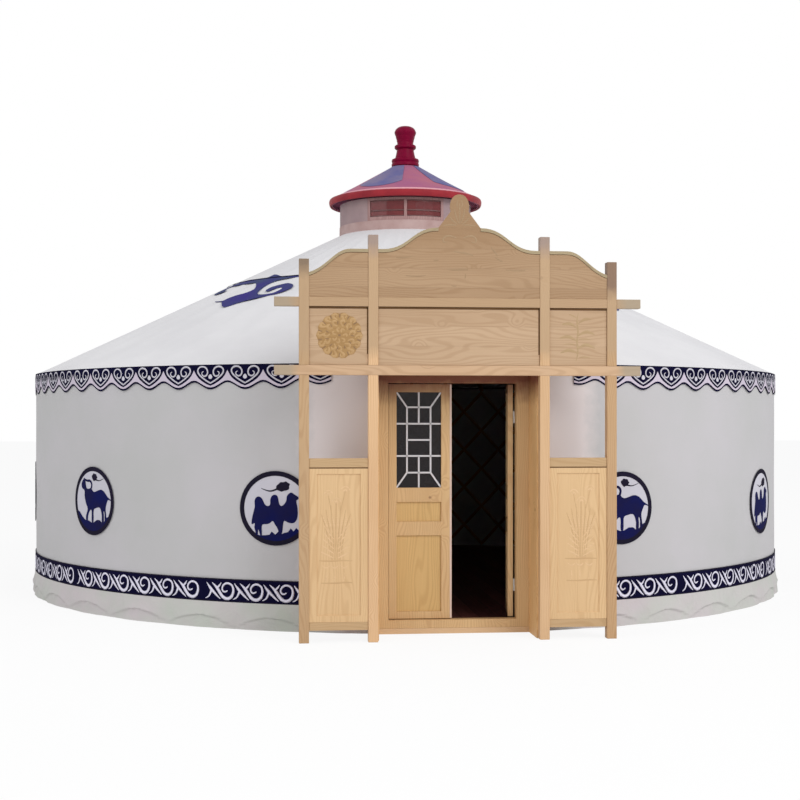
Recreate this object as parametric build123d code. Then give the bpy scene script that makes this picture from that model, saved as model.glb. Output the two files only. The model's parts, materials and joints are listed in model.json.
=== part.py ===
from build123d import *
from itertools import pairwise
from math import asin, atan, cos, degrees, pi, radians, sin, sqrt, tan
import os

# Yurt (ger) for guests: a round lattice-walled tent with a straight cone roof, a glazed lantern
# on its crown and a carved timber portal in front of a two-leaf door.
# Frame: origin on the ground at the axis of the round room, +Z up, the door faces -Y.
# A bearing is measured in degrees from the door, growing towards +X.

# ---------------------------------------------------------------- driving dimensions (mm)
seat = 0.3                      # fit between pieces that bear on each other
running_gap = 5.0               # clear space all round a door leaf

wall_radius = 3500.0            # outer face of the wall covers
wall_height = 1950.0            # top of the wall covers, where the roof covers rest
cover_thickness = 25.0          # felt and canvas, wall
roof_cover_thickness = 26.0     # felt and canvas, roof, measured upright
roof_slope = 0.481              # rise over run of the cone

floor_thickness = 40.0

lattice_bays = 48               # lath crossings round the wall
bays_climbed = 4                # bays that one lath crosses from floor to head
lath_thickness = 11.0
lath_width = 32.0

pole_width = 40.0
pole_depth = 40.0
door_bays = 4                   # spaces between poles over the door frame, an even number

crown_radius = 640.0            # outer face of the crown ring and of the lantern
lantern_sides = 48              # flats of the cloth stretched round the lantern and its cap
crown_ring_width = 80.0
crown_ring_depth = 110.0
spoke_width = 60.0
spoke_depth = 60.0

lantern_wall = 30.0
lantern_base_height = 110.0
lantern_window_height = 214.0
lantern_window_bearing = 34.0   # half the angle that one window takes
lantern_turn = -5.5             # bearing of the front window, a little askew to the door
lantern_member = 2.4            # angle of a window post
lantern_sill = 34.0
lantern_head = 24.0
lantern_glass_thickness = 4.0

cap_radius = 715.0
cap_edge = 40.0                 # height of the upright edge of the cap
cap_brow_radius = 668.0
cap_brow_rise = 86.0
cap_shoulder_radius = 590.0
cap_shoulder_rise = 134.0
cap_top_radius = 130.0
cap_top_rise = 390.0
cap_shell = 26.0
rim_width = 30.0
rim_height = 80.0
rim_bevel = 9.0

finial_base_radius = 135.0
finial_base_height = 80.0
finial_lower_radius = 96.0
finial_collar_radius = 104.0
finial_collar_height = 30.0
finial_neck_radius = 82.0
finial_upper_radius = 106.0
finial_lower_height = 102.0
finial_upper_height = 124.0
finial_dome_height = 70.0
finial_dome_steps = 4

valance_drop = 183.0
valance_thickness = 4.0
skirt_height = 196.0
skirt_thickness = 10.0
skirt_lift = 2.0                # hem above the ground

opening_half_width = 472.0
head_height = 122.7             # from the top of the door opening to the top of the wall covers
sill_height = 60.0
jamb_width = 92.7
frame_depth = 80.0
frame_setback = 11.0            # face of the door frame behind the roundest point of the wall
head_lip = 13.0

leaf_thickness = 40.0
hinge_stile = 58.0
meeting_stile = 78.0
bottom_rail = 52.0
large_panel_height = 557.0
middle_rail = 101.0
small_panel_height = 144.0
lock_rail = 104.0
top_rail = 60.0
panel_thickness = 14.0
glass_thickness = 5.0
right_leaf_open = 98.0          # angle at which the right leaf stands open

hinges_per_leaf = 2
lower_hinge_rise = 234.7        # from the foot of a leaf to its lowest hinge
upper_hinge_drop = 242.3        # from the head of a leaf to its highest hinge
knuckle_radius = 7.0
knuckle_height = 44.0
pin_radius = 4.0
hinge_offset = 8.0              # pin behind the back face of the leaf
flap_width = 42.0
flap_thickness = 3.0

reveal_thickness = 20.0
porch_depth = 366.0             # from the face of the door frame to the face of the portal
post_size = 70.0
inner_post = 610.0
outer_post = 1095.0
inner_post_rise = 439.0         # above the upper beam
outer_post_rise = 266.0
beam_half_length = 1303.0
lower_beam_rise = 45.7          # above the door opening
lower_beam_height = 69.0
frieze_height = 412.0           # between the two beams
upper_beam_height = 64.0
board_thickness = 18.0
frieze_recess = 12.0
pediment_recess = 6.0
bay_rail_depth = 50.0
bottom_bay_rail = 87.0
bottom_bay_rail_height = 56.0
middle_bay_rail = 1227.0
middle_bay_rail_height = 63.0
bay_rail_recess = 8.0
bay_frame_recess = 9.0          # face of the stiles and rails that frame a bay's sunk field
bay_panel_recess = 16.0         # face of the sunk field
bay_stile = 55.0
bay_frame_rail = 47.0

pediment_edge_rise = 173.0      # above the upper beam, where the pediment meets the outer posts
shoulder_rise = 339.0           # above the upper beam, level stretch beside the inner posts
centre_rise = 156.0             # seat of the crest above the shoulder
side_ogee_run = 290.0
centre_ogee_start = 545.0
centre_ogee_end = 150.0
side_ogee_pull = 0.45           # shares of the side run that the curve leans at its foot,
side_ogee_lift = 0.14           # climbs there,
side_ogee_roll = 0.38           # and stays level under the shoulder
centre_ogee_pull = 0.48
crest_height = 236.0
crest_neck = 63.0               # half widths of the crest at its neck, its widest and its brow
crest_bulb = 67.0
crest_brow = 44.0
crest_flare = 1.75              # pull of the foot's curve, in half widths of the neck
crest_flare_share = 0.22        # shares of the crest's height at that pull, the neck, the widest
crest_neck_share = 0.49         # place and the brow
crest_bulb_share = 0.70
crest_brow_share = 0.93

# ---------------------------------------------------------------- sizes that follow
cover_inner = wall_radius - cover_thickness
lattice_outer = cover_inner - seat
outer_lath_inner = lattice_outer - lath_thickness
inner_lath_outer = outer_lath_inner - seat
lath_rise_height = lath_width / cos(radians(45))
reveal_inner = opening_half_width + jamb_width + seat
reveal_outer = reveal_inner + reveal_thickness
lattice_bearing = degrees(asin((reveal_outer + seat) / (inner_lath_outer - lath_thickness)))
bay_angle = (360 - 2 * lattice_bearing) / lattice_bays
pole_height = pole_depth / cos(atan(roof_slope))
corner_play = pole_width / 2 * tan(radians(bay_angle / 2))     # flats leave the corner beside a pole
opening_bottom = floor_thickness + seat + sill_height
opening_top = wall_height - head_height
frame_front = wall_radius - frame_setback       # distances of faces from the axis of the room
frame_back = frame_front - frame_depth
portal_front = frame_front + porch_depth
portal_back = portal_front - post_size
wall_bearings = [lattice_bearing + bay * bay_angle for bay in range(lattice_bays + 1)]
half_wall = wall_bearings[:lattice_bays // 2 + 1]
cover_seam = lattice_bays // 4                  # bay at which front and back covers meet
door_bearings = [2 * lattice_bearing * step / door_bays for step in range(door_bays // 2)]
lower_beam = opening_top + lower_beam_rise
upper_beam = lower_beam + lower_beam_height + frieze_height
board_top = upper_beam + upper_beam_height
shoulder_height = board_top + shoulder_rise
centre_top = shoulder_height + centre_rise


def roof_underside(radius):
    """Height of the underside of the roof covers at a radius."""
    return wall_height + seat + roof_slope * (wall_radius - radius)


def pole_underside(radius):
    """Height of the underside of the roof poles at a radius."""
    return roof_underside(radius + corner_play) - seat - pole_height


crown_top = roof_underside(crown_radius)
lantern_window_bottom = crown_top + seat + lantern_base_height
lantern_top = lantern_window_bottom + seat + lantern_window_height
cap_bottom = lantern_top + seat
head_top = pole_underside(lattice_outer) - seat


# ---------------------------------------------------------------- shared ways of making shapes
def block(x_range, y_range, z_range):
    """Rectangular piece between pairs of coordinates."""
    spans = [sorted(pair) for pair in (x_range, y_range, z_range)]
    size = [high - low for low, high in spans]
    centre = [(high + low) / 2 for low, high in spans]
    return Pos(*centre) * Box(*size)


def at_bearing(bearing, shape):
    """Turn a shape built along +X so that it points to a bearing."""
    return Rot(0, 0, bearing - 90) * shape


def joined(rings):
    """Solid between outlines with as many corners each, corner joined to corner by flat faces."""
    faces = [make_face(Polyline(*ends, close=True)).face() for ends in (rings[0], rings[-1])]
    for near, far in pairwise(rings):
        for corner in range(len(near)):
            flat = Polyline(near[corner - 1], near[corner], far[corner], far[corner - 1], close=True)
            faces.append(make_face(flat).face())
    return Solid(Shell(faces))


def stretched(outline, bearings):
    """Outline of (radius, height) points stretched flat from each bearing to the next."""
    return joined([[(radius * sin(radians(bearing)), -radius * cos(radians(bearing)), height)
                    for radius, height in outline] for bearing in bearings])


def many_sided(levels):
    """Closed solid of many flats through (radius, height) levels, from the lowest up."""
    turns = [2 * pi * side / lantern_sides for side in range(lantern_sides)]
    return joined([[(radius * cos(turn), radius * sin(turn), height) for turn in turns]
                   for radius, height in levels])


def other_side(shape):
    """Mirror image of a shape across the door axis."""
    return mirror(shape, about=Plane.YZ)


def upright_board(face, front, thickness):
    """Board cut to a face of (x, height), its front at a distance from the axis."""
    return Pos(0, thickness - front, 0) * extrude(Plane.XZ * face, thickness)


# ---------------------------------------------------------------- floor and lattice wall
def floor():
    """Boarded floor up to the lattice, with a tongue under the door frame."""
    half = opening_half_width + jamb_width
    rim = [(lattice_outer * sin(radians(bearing)), -lattice_outer * cos(radians(bearing)))
           for bearing in wall_bearings]
    tongue = [(-half, rim[-1][1]), (-half, -frame_front), (half, -frame_front), (half, rim[0][1])]
    return extrude(make_face(Polyline(*rim, *tongue, close=True)), floor_thickness)


def lath_section(bearing, outer, height):
    """Upright cut through a lath at one bearing, its lower edge at a height."""
    inner = outer - lath_thickness
    corners = [(inner, height), (outer, height), (outer, height + lath_rise_height),
               (inner, height + lath_rise_height)]
    return at_bearing(bearing, Plane.XZ * make_face(Polyline(*corners, close=True)))


def lath(first_bay, outer):
    """One lath climbing towards +X from the floor at its first bay, cut off at the doorway."""
    bottom = floor_thickness + seat
    top = pole_underside(outer) - seat - lath_rise_height
    rise = (top - bottom) / bays_climbed
    bays = range(max(first_bay, 0), min(first_bay + bays_climbed, lattice_bays) + 1)
    sections = [lath_section(wall_bearings[bay], outer, bottom + rise * (bay - first_bay))
                for bay in bays]
    return loft(sections, ruled=True)


def lath_layer(outer):
    """All laths that lean one way, as separate parallel bars."""
    return [lath(first, outer) for first in range(1 - bays_climbed, lattice_bays)]


# ---------------------------------------------------------------- covers
def wall_cover(bearings):
    top_inner = roof_underside(cover_inner) - seat
    outline = [(cover_inner, 0), (wall_radius, 0), (wall_radius, wall_height), (cover_inner, top_inner)]
    return stretched(outline, bearings)


def roof_cover(bearings):
    eave = roof_underside(wall_radius)
    crown = roof_underside(crown_radius + seat)
    inner = (crown_radius + seat) / cos(radians(bay_angle / 2))
    outline = [(wall_radius, eave), (wall_radius, eave + roof_cover_thickness),
               (inner, crown + roof_cover_thickness), (inner, crown)]
    return stretched(outline, bearings)


def hung_strip(thickness, bottom, top):
    """Pair of cloth strips outside the wall covers, one each side of the doorway."""
    inner = wall_radius + seat
    outline = [(inner, bottom), (inner + thickness, bottom), (inner + thickness, top), (inner, top)]
    right = stretched(outline, half_wall[:-1] + [180 - degrees(seat / inner)])
    return [right, other_side(right)]


# ---------------------------------------------------------------- roof frame
def roof_pole(bearing):
    inner, outer = crown_radius + seat, lattice_outer - corner_play
    outline = [(radius, pole_underside(radius) + rise)
               for radius, rise in ((inner, 0), (outer, 0), (outer, pole_height), (inner, pole_height))]
    bar = extrude(Plane.XZ * make_face(Polyline(*outline, close=True)), pole_width / 2, both=True)
    return at_bearing(bearing, bar)


def roof_poles():
    over_door = door_bearings + [-bearing for bearing in door_bearings if bearing]
    return [roof_pole(bearing) for bearing in wall_bearings + over_door]


def crown():
    """Ring that the poles bear against, with a cross of two spokes."""
    bottom, inner = crown_top - crown_ring_depth, crown_radius - crown_ring_width
    rim = (many_sided([(crown_radius, bottom), (crown_radius, crown_top)])
           - many_sided([(inner, bottom), (inner, crown_top)]))
    reach = crown_radius - crown_ring_width / 2
    heights = (crown_top - spoke_depth, crown_top)
    across = block((-reach, reach), (-spoke_width / 2, spoke_width / 2), heights)
    along = block((-spoke_width / 2, spoke_width / 2), (-reach, reach), heights)
    return rim + across + along


# ---------------------------------------------------------------- lantern and cap
def lantern_base():
    """Upright ring between the crown and the windows."""
    bottom, inner = crown_top + seat, crown_radius - lantern_wall
    top = bottom + lantern_base_height
    return (many_sided([(crown_radius, bottom), (crown_radius, top)])
            - many_sided([(inner, bottom), (inner, top)]))


def lantern_arc(inner, outer, bottom, top, start, end):
    """Upright part of the lantern's ring of flats between two bearings."""
    steps = round((end - start) * lantern_sides / 360)
    outline = [(inner, bottom), (outer, bottom), (outer, top), (inner, top)]
    return stretched(outline, [start + (end - start) * step / steps for step in range(steps + 1)])


def lantern_side():
    """Cloth-covered wall of the lantern on the +X side, between the two windows."""
    start = lantern_window_bearing + degrees(seat / crown_radius)
    return lantern_arc(crown_radius - lantern_wall, crown_radius, lantern_window_bottom + seat,
                       lantern_top, start, 180 - start)


def pane_bearings():
    """Bearings between which each of the two panes of the door-side window lies."""
    return (lantern_member / 2, lantern_window_bearing - lantern_member)


def lantern_window():
    """Frame of two lights on the door side."""
    bottom = lantern_window_bottom + seat
    inner, outer = crown_radius - lantern_wall, crown_radius
    frame = lantern_arc(inner, outer, bottom, lantern_top,
                        -lantern_window_bearing, lantern_window_bearing)
    light = lantern_arc(inner - lantern_wall, outer + lantern_wall, bottom + lantern_sill,
                        lantern_top - lantern_head, *pane_bearings())
    return frame - light - other_side(light)


def lantern_glass():
    """Two panes of the door-side window."""
    start, end = pane_bearings()
    play = degrees(seat / crown_radius)
    inner = crown_radius - lantern_wall / 2
    pane = lantern_arc(inner, inner + lantern_glass_thickness,
                       lantern_window_bottom + seat + lantern_sill + seat,
                       lantern_top - lantern_head - seat, start + play, end - play)
    return [pane, other_side(pane)]


def set_askew(shape):
    """Turn a piece of the lantern to where it stands on the crown."""
    return Rot(0, 0, lantern_turn) * shape


def to_back(shape):
    """The same shape on the side away from the door."""
    return Rot(0, 0, 180) * shape


def cap():
    """Cloth over a light cone of battens, hollow above the lantern."""
    bottom, inner = cap_bottom, crown_radius - lantern_wall
    outer = many_sided([(cap_radius, bottom), (cap_radius, bottom + cap_edge),
                        (cap_brow_radius, bottom + cap_brow_rise),
                        (cap_shoulder_radius, bottom + cap_shoulder_rise),
                        (cap_top_radius, bottom + cap_top_rise)])
    hollow = many_sided([(inner, bottom), (inner, bottom + cap_edge),
                         (cap_shoulder_radius - cap_shell, bottom + cap_shoulder_rise - cap_shell),
                         (cap_top_radius, bottom + cap_top_rise - cap_shell)])
    return outer - hollow


def cap_rim():
    """Rolled edge round the cap."""
    inner = cap_radius + seat
    outer = inner + rim_width
    middle = cap_bottom + cap_edge / 2
    low, high = middle - rim_height / 2, middle + rim_height / 2
    roll = many_sided([(outer - rim_bevel, low), (outer, low + 2 * rim_bevel),
                       (outer, high - 2 * rim_bevel), (outer - rim_bevel, high)])
    return roll - many_sided([(inner, low), (inner, high)])


def finial():
    """Solid turned knob that closes the cap."""
    base = cap_bottom + cap_top_rise + seat
    lower = base + finial_base_height
    collar = lower + finial_lower_height
    upper = collar + finial_collar_height
    dome = upper + finial_upper_height
    levels = [(finial_base_radius, base), (finial_base_radius, lower), (finial_lower_radius, lower),
              (finial_neck_radius, collar), (finial_collar_radius, collar),
              (finial_collar_radius, upper), (finial_neck_radius, upper)]
    for step in range(finial_dome_steps):
        turn = pi / 2 * step / finial_dome_steps
        levels.append((finial_upper_radius * cos(turn), dome + finial_dome_height * sin(turn)))
    return many_sided(levels)


# ---------------------------------------------------------------- door frame and leaves
def door_frame():
    half = opening_half_width + jamb_width
    frame = block((-half, half), (-frame_front, -frame_back), (floor_thickness + seat, head_top))
    lip = block((-half, half), (-frame_front, head_lip - frame_front), (opening_top, wall_height - seat))
    doorway = block((-opening_half_width, opening_half_width), (-frame_front, -frame_back),
                    (opening_bottom, opening_top))
    return frame + lip - doorway


def leaf_lights():
    """Bottom and top of the large panel, the small panel and the glass of a leaf."""
    large = opening_bottom + running_gap + bottom_rail
    small = large + large_panel_height + middle_rail
    glass = small + small_panel_height + lock_rail
    top = opening_top - running_gap - top_rail
    return [(large, large + large_panel_height), (small, small + small_panel_height), (glass, top)]


leaf_hinge_edge = -(opening_half_width - running_gap)
leaf_meeting_edge = -running_gap / 2
light_sides = (leaf_hinge_edge + hinge_stile, leaf_meeting_edge - meeting_stile)


def leaf_frame():
    """Stiles and rails of the left leaf, its back flush with the back of the door frame."""
    depth = (-frame_back - leaf_thickness, -frame_back)
    leaf = block((leaf_hinge_edge, leaf_meeting_edge), depth,
                 (opening_bottom + running_gap, opening_top - running_gap))
    for heights in leaf_lights():
        leaf -= block(light_sides, depth, heights)
    return leaf


def leaf_infill(heights, thickness):
    """Panel or pane set in the middle of the left leaf's thickness."""
    middle = -frame_back - leaf_thickness / 2
    low, high = heights
    return block((light_sides[0] + seat, light_sides[1] - seat),
                 (middle - thickness / 2, middle + thickness / 2), (low + seat, high - seat))


def leaf_panels():
    return [leaf_infill(heights, panel_thickness) for heights in leaf_lights()[:2]]


def leaf_glass():
    return leaf_infill(leaf_lights()[2], glass_thickness)


pin_x = -(opening_half_width - running_gap / 2)
pin_y = -frame_back + hinge_offset


def hinge_heights():
    """Heights at which the two knuckles of each hinge meet, spread evenly up the leaf."""
    lowest = opening_bottom + running_gap + lower_hinge_rise
    highest = opening_top - running_gap - upper_hinge_drop
    return [lowest + (highest - lowest) * step / (hinges_per_leaf - 1) for step in range(hinges_per_leaf)]


def upright_pin(radius, bottom, height):
    return Pos(pin_x, pin_y, bottom) * Cylinder(radius, height, align=(Align.CENTER, Align.CENTER, Align.MIN))


def hinge_flap(side, bottom):
    """Plate on the back of the leaf (+1) or of the jamb (-1), with its knuckle."""
    face = -frame_back + seat
    plate = block((pin_x, pin_x + side * flap_width), (face, face + flap_thickness),
                  (bottom, bottom + knuckle_height))
    return plate + upright_pin(knuckle_radius, bottom, knuckle_height)


def leaf_hinges():
    """Upper knuckles, bored for the pins."""
    bore = pin_radius + seat
    return [hinge_flap(1, height + seat) - upright_pin(bore, height, knuckle_height + 2 * seat)
            for height in hinge_heights()]


def jamb_hinges():
    """Lower knuckles, each with the pin that stands up through the leaf's knuckle."""
    return [hinge_flap(-1, height - knuckle_height)
            + upright_pin(pin_radius, height - knuckle_height, 2 * knuckle_height)
            for height in hinge_heights()]


def open_right_leaf(shape):
    """Mirror a piece of the left leaf to the right and swing it inwards to where it stands."""
    hinge = Pos(-pin_x, pin_y, 0)
    return hinge * Rot(0, 0, -right_leaf_open) * hinge.inverse() * other_side(shape)


def reveal_board():
    """Board on the right that closes the gap between the door frame and the portal."""
    back = sqrt(lattice_outer ** 2 - reveal_inner ** 2) + seat
    return block((reveal_inner, reveal_outer), (seat - portal_back, -back), (0, head_top))


# ---------------------------------------------------------------- portal
def beam_heights():
    return [(lower_beam, lower_beam + lower_beam_height), (upper_beam, upper_beam + upper_beam_height)]


def post(x, height):
    """Post lapped behind the lower beam and in front of the upper one."""
    half, middle = post_size / 2, -(portal_front + portal_back) / 2
    sides = (x - half, x + half)
    (low, low_top), (high, high_top) = beam_heights()
    bar = block(sides, (-portal_front, -portal_back), (0, height))
    bar -= block(sides, (-portal_front, middle + seat), (low - seat, low_top + seat))
    return bar - block(sides, (middle - seat, -portal_back), (high - seat, high_top + seat))


def beam(heights, lap):
    """Beam across the four posts, with the part named by lap cut away at each post."""
    bar = block((-beam_half_length, beam_half_length), (-portal_front, -portal_back), heights)
    for x in (-outer_post, -inner_post, inner_post, outer_post):
        bar -= block((x - post_size / 2 - seat, x + post_size / 2 + seat), lap, heights)
    return bar


def portal_beams():
    middle = -(portal_front + portal_back) / 2
    lower, upper = beam_heights()
    return [beam(lower, (middle, -portal_back)), beam(upper, (-portal_front, middle))]


def side_bay():
    """Left and right limits of the bay between the inner and the outer post, on the right."""
    return (inner_post + post_size / 2 + seat, outer_post - post_size / 2 - seat)


centre_half = inner_post - post_size / 2 - seat


def frieze_panels():
    low, high = lower_beam + lower_beam_height + seat, upper_beam - seat
    depth = (frieze_recess - portal_front, frieze_recess + board_thickness - portal_front)
    side = block(side_bay(), depth, (low, high))
    return [other_side(side), block((-centre_half, centre_half), depth, (low, high)), side]


def pediment_side():
    """Board of the right bay, its top an ogee that falls from the shoulder to the outer post."""
    near, far = side_bay()
    bottom, edge, end = board_top + seat, board_top + pediment_edge_rise, far - side_ogee_run
    ogee = Bezier((far, edge), (far - side_ogee_pull * side_ogee_run, edge + side_ogee_lift * side_ogee_run),
                  (end + side_ogee_roll * side_ogee_run, shoulder_height), (end, shoulder_height))
    rest = Polyline((end, shoulder_height), (near, shoulder_height), (near, bottom),
                    (far, bottom), (far, edge))
    return upright_board(make_face(ogee + rest), portal_front - pediment_recess, board_thickness)


def pediment_centre():
    """Middle board, its top rising in two ogees to the seat of the crest."""
    bottom = board_top + seat
    handle = centre_ogee_pull * (centre_ogee_start - centre_ogee_end)
    outline = Polyline((centre_ogee_start, shoulder_height), (centre_half, shoulder_height),
                       (centre_half, bottom), (-centre_half, bottom), (-centre_half, shoulder_height),
                       (-centre_ogee_start, shoulder_height))
    for side in (-1, 1):
        outline += Bezier((side * centre_ogee_start, shoulder_height),
                          (side * (centre_ogee_start - handle), shoulder_height),
                          (side * (centre_ogee_end + handle), centre_top),
                          (side * centre_ogee_end, centre_top))
    outline += Line((-centre_ogee_end, centre_top), (centre_ogee_end, centre_top))
    return upright_board(make_face(outline), portal_front - pediment_recess, board_thickness)


def pediment_crest():
    """Small carved cloud on the peak: a flared foot, a neck and a rounded head."""
    foot = centre_top + seat
    flare, neck, bulb, brow = (foot + share * crest_height for share in
                               (crest_flare_share, crest_neck_share, crest_bulb_share, crest_brow_share))
    outline = Line((-centre_ogee_end, foot), (centre_ogee_end, foot))
    for side in (-1, 1):
        outline += Bezier((side * centre_ogee_end, foot), (side * crest_flare * crest_neck, flare),
                          (side * crest_neck, neck))
        outline += ThreePointArc((side * crest_neck, neck), (side * crest_bulb, bulb),
                                 (side * crest_brow, brow))
    outline += ThreePointArc((-crest_brow, brow), (0, foot + crest_height), (crest_brow, brow))
    return upright_board(make_face(outline), portal_front - pediment_recess, board_thickness)


def bay_rails():
    """Middle and bottom rails of the right bay."""
    depth = (bay_rail_recess - portal_front, bay_rail_recess + bay_rail_depth - portal_front)
    return [block(side_bay(), depth, (bottom, bottom + height))
            for bottom, height in ((middle_bay_rail, middle_bay_rail_height),
                                   (bottom_bay_rail, bottom_bay_rail_height))]


def bay_panel():
    """Panel between the rails of the right bay, its field sunk within stiles and rails."""
    near, far = side_bay()
    low, high = bottom_bay_rail + bottom_bay_rail_height + seat, middle_bay_rail - seat
    face, field = bay_frame_recess - portal_front, bay_panel_recess - portal_front
    panel = block((near, far), (face, field + board_thickness), (low, high))
    return panel - block((near + bay_stile, far - bay_stile), (face, field),
                         (low + bay_frame_rail, high - bay_frame_rail))


# ---------------------------------------------------------------- the assembly
def save(name, shape):
    solids = shape if isinstance(shape, list) else [shape]
    export_step(Compound(children=solids) if len(solids) > 1 else solids[0], f"parts/{name}.step")


def save_pair(name, right_shape):
    """Write a piece of the right side and its mirror image on the left."""
    solids = right_shape if isinstance(right_shape, list) else [right_shape]
    save(f"{name}_right", solids)
    save(f"{name}_left", [other_side(solid) for solid in solids])


os.makedirs("parts", exist_ok=True)

save("floor", floor())
save("lattice_outer_laths", lath_layer(lattice_outer))
save("lattice_inner_laths", [other_side(bar) for bar in lath_layer(inner_lath_outer)])
save_pair("wall_cover_front", wall_cover(half_wall[:cover_seam + 1]))
save_pair("wall_cover_back", wall_cover(half_wall[cover_seam:]))
save_pair("roof_cover_front", roof_cover(door_bearings + half_wall[:cover_seam + 1]))
save_pair("roof_cover_back", roof_cover(half_wall[cover_seam:]))
save("roof_poles", roof_poles())
save("crown", crown())
save("valance", hung_strip(valance_thickness, wall_height + roof_cover_thickness - valance_drop,
                           wall_height + roof_cover_thickness))
save("ground_skirt", hung_strip(skirt_thickness, skirt_lift, skirt_lift + skirt_height))

save("lantern_base", lantern_base())
save("lantern_wall_right", set_askew(lantern_side()))
save("lantern_wall_left", set_askew(other_side(lantern_side())))
save("lantern_window_front", set_askew(lantern_window()))
save("lantern_window_back", to_back(set_askew(lantern_window())))
save("lantern_glass_front", [set_askew(pane) for pane in lantern_glass()])
save("lantern_glass_back", [to_back(set_askew(pane)) for pane in lantern_glass()])
save("lantern_cap", cap())
save("lantern_cap_rim", cap_rim())
save("finial", finial())

save("door_frame", door_frame())
save("jamb_hinges", jamb_hinges() + [other_side(hinge) for hinge in jamb_hinges()])
leaf_pieces = {"leaf_frame": [leaf_frame()], "leaf_panels": leaf_panels(),
               "leaf_glass": [leaf_glass()], "leaf_hinges": leaf_hinges()}
for piece, solids in leaf_pieces.items():
    save(f"left_{piece}", solids)
    save(f"right_{piece}", [open_right_leaf(solid) for solid in solids])
save_pair("reveal_board", reveal_board())

save_pair("inner_post", post(inner_post, board_top + inner_post_rise))
save_pair("outer_post", post(outer_post, board_top + outer_post_rise))
save("portal_beams", portal_beams())
save("frieze_panels", frieze_panels())
save("pediment_centre", pediment_centre())
save("pediment_sides", [pediment_side(), other_side(pediment_side())])
save("pediment_crest", pediment_crest())
save_pair("bay_rails", bay_rails())
save_pair("bay_panel", bay_panel())
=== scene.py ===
import json
import math
from contextlib import contextmanager
from math import cos, pi, radians, sin

import bpy
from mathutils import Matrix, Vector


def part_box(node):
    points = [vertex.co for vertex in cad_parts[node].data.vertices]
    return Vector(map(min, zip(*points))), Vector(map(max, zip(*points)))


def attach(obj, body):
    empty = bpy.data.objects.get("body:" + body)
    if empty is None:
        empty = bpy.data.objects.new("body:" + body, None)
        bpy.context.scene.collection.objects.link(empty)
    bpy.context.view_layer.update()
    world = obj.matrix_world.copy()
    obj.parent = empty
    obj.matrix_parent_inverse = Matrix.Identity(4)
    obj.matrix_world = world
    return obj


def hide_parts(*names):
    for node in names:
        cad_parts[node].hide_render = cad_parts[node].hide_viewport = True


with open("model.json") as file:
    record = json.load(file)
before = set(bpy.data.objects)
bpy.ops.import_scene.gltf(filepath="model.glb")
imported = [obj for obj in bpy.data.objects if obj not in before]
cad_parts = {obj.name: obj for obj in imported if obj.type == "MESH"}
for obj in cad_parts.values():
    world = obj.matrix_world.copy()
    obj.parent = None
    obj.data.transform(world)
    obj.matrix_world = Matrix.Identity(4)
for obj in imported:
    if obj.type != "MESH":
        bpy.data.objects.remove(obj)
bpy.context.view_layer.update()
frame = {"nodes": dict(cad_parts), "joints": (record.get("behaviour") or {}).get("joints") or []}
nodes = frame["nodes"]
bpy.ops.object.select_all(action="DESELECT")


# ---------------------------------------------------------------- the stand, the lamps and the camera
# The yurt stands on a plain pale floor under two big soft lamps, one high on the right of the door
# and a weaker one on the left, with a pale sky all round.
def shader(tree, kind, inputs=None, **settings):
    """One node of a material, its sockets set to numbers, colours or other nodes' outputs."""
    node = tree.nodes.new("ShaderNode" + kind)
    for name, value in settings.items():
        setattr(node, name, value)
    for socket, value in (inputs or {}).items():
        if isinstance(value, bpy.types.NodeSocket):
            tree.links.new(value, node.inputs[socket])
        else:
            node.inputs[socket].default_value = value
    return node


def empty_material(name):
    """A new material with only its output."""
    material = bpy.data.materials.new(name)
    material.use_nodes = True
    material.node_tree.nodes.clear()
    output = material.node_tree.nodes.new("ShaderNodeOutputMaterial")
    return material, material.node_tree, output


def maths(tree, operation, *values):
    """The result of a sum on numbers or other nodes' outputs."""
    return shader(tree, "Math", dict(enumerate(values)), operation=operation).outputs[0]


def seen_share(tree):
    """1 for what is seen, straight, in a reflection or through glass, and 0 for what only gives light."""
    path = shader(tree, "LightPath").outputs
    share = maths(tree, "MAXIMUM", path["Is Camera Ray"], path["Is Glossy Ray"])
    return maths(tree, "MAXIMUM", share, path["Is Transmission Ray"])


bpy.ops.mesh.primitive_plane_add(size=160, location=(0, 20, 0))
ground = bpy.context.object
ground.name = "stand_floor"
pale, tree, output = empty_material("pale_floor")
matt = shader(tree, "BsdfDiffuse", {"Color": (0.92, 0.92, 0.92, 1)})
glow = shader(tree, "Emission", {"Color": (1, 1, 1, 1), "Strength": 1.0})
GLOW_SHARE = 0.88
share = maths(tree, "MULTIPLY", seen_share(tree), GLOW_SHARE)
blend = shader(tree, "MixShader", {0: share, 1: matt.outputs[0], 2: glow.outputs[0]})
tree.links.new(blend.outputs[0], output.inputs["Surface"])
ground.data.materials.append(pale)

world = bpy.data.worlds.new("pale_sky")
bpy.context.scene.world = world
world.use_nodes = True
world.node_tree.nodes.clear()
tree = world.node_tree
sky = shader(tree, "Background", {"Color": (0.97, 0.98, 1, 1), "Strength": 0.68})
white = shader(tree, "Background", {"Color": (1, 1, 1, 1), "Strength": 1.0})
blend = shader(tree, "MixShader", {0: seen_share(tree), 1: sky.outputs[0], 2: white.outputs[0]})
output = tree.nodes.new("ShaderNodeOutputWorld")
tree.links.new(blend.outputs[0], output.inputs["Surface"])

AIM_HEIGHT = 1.5
for name, place, size, power in (("lamp_right", (8, -15, 11), 9, 1280),
                                 ("lamp_left", (-12, -10, 8), 8, 330)):
    bpy.ops.object.light_add(type="AREA", location=place)
    lamp = bpy.context.object
    lamp.name = name
    lamp.data.size = size
    lamp.data.energy = power
    aim = -lamp.location.copy()
    aim.z += AIM_HEIGHT
    lamp.rotation_euler = aim.to_track_quat("-Z", "Y").to_euler()

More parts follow.
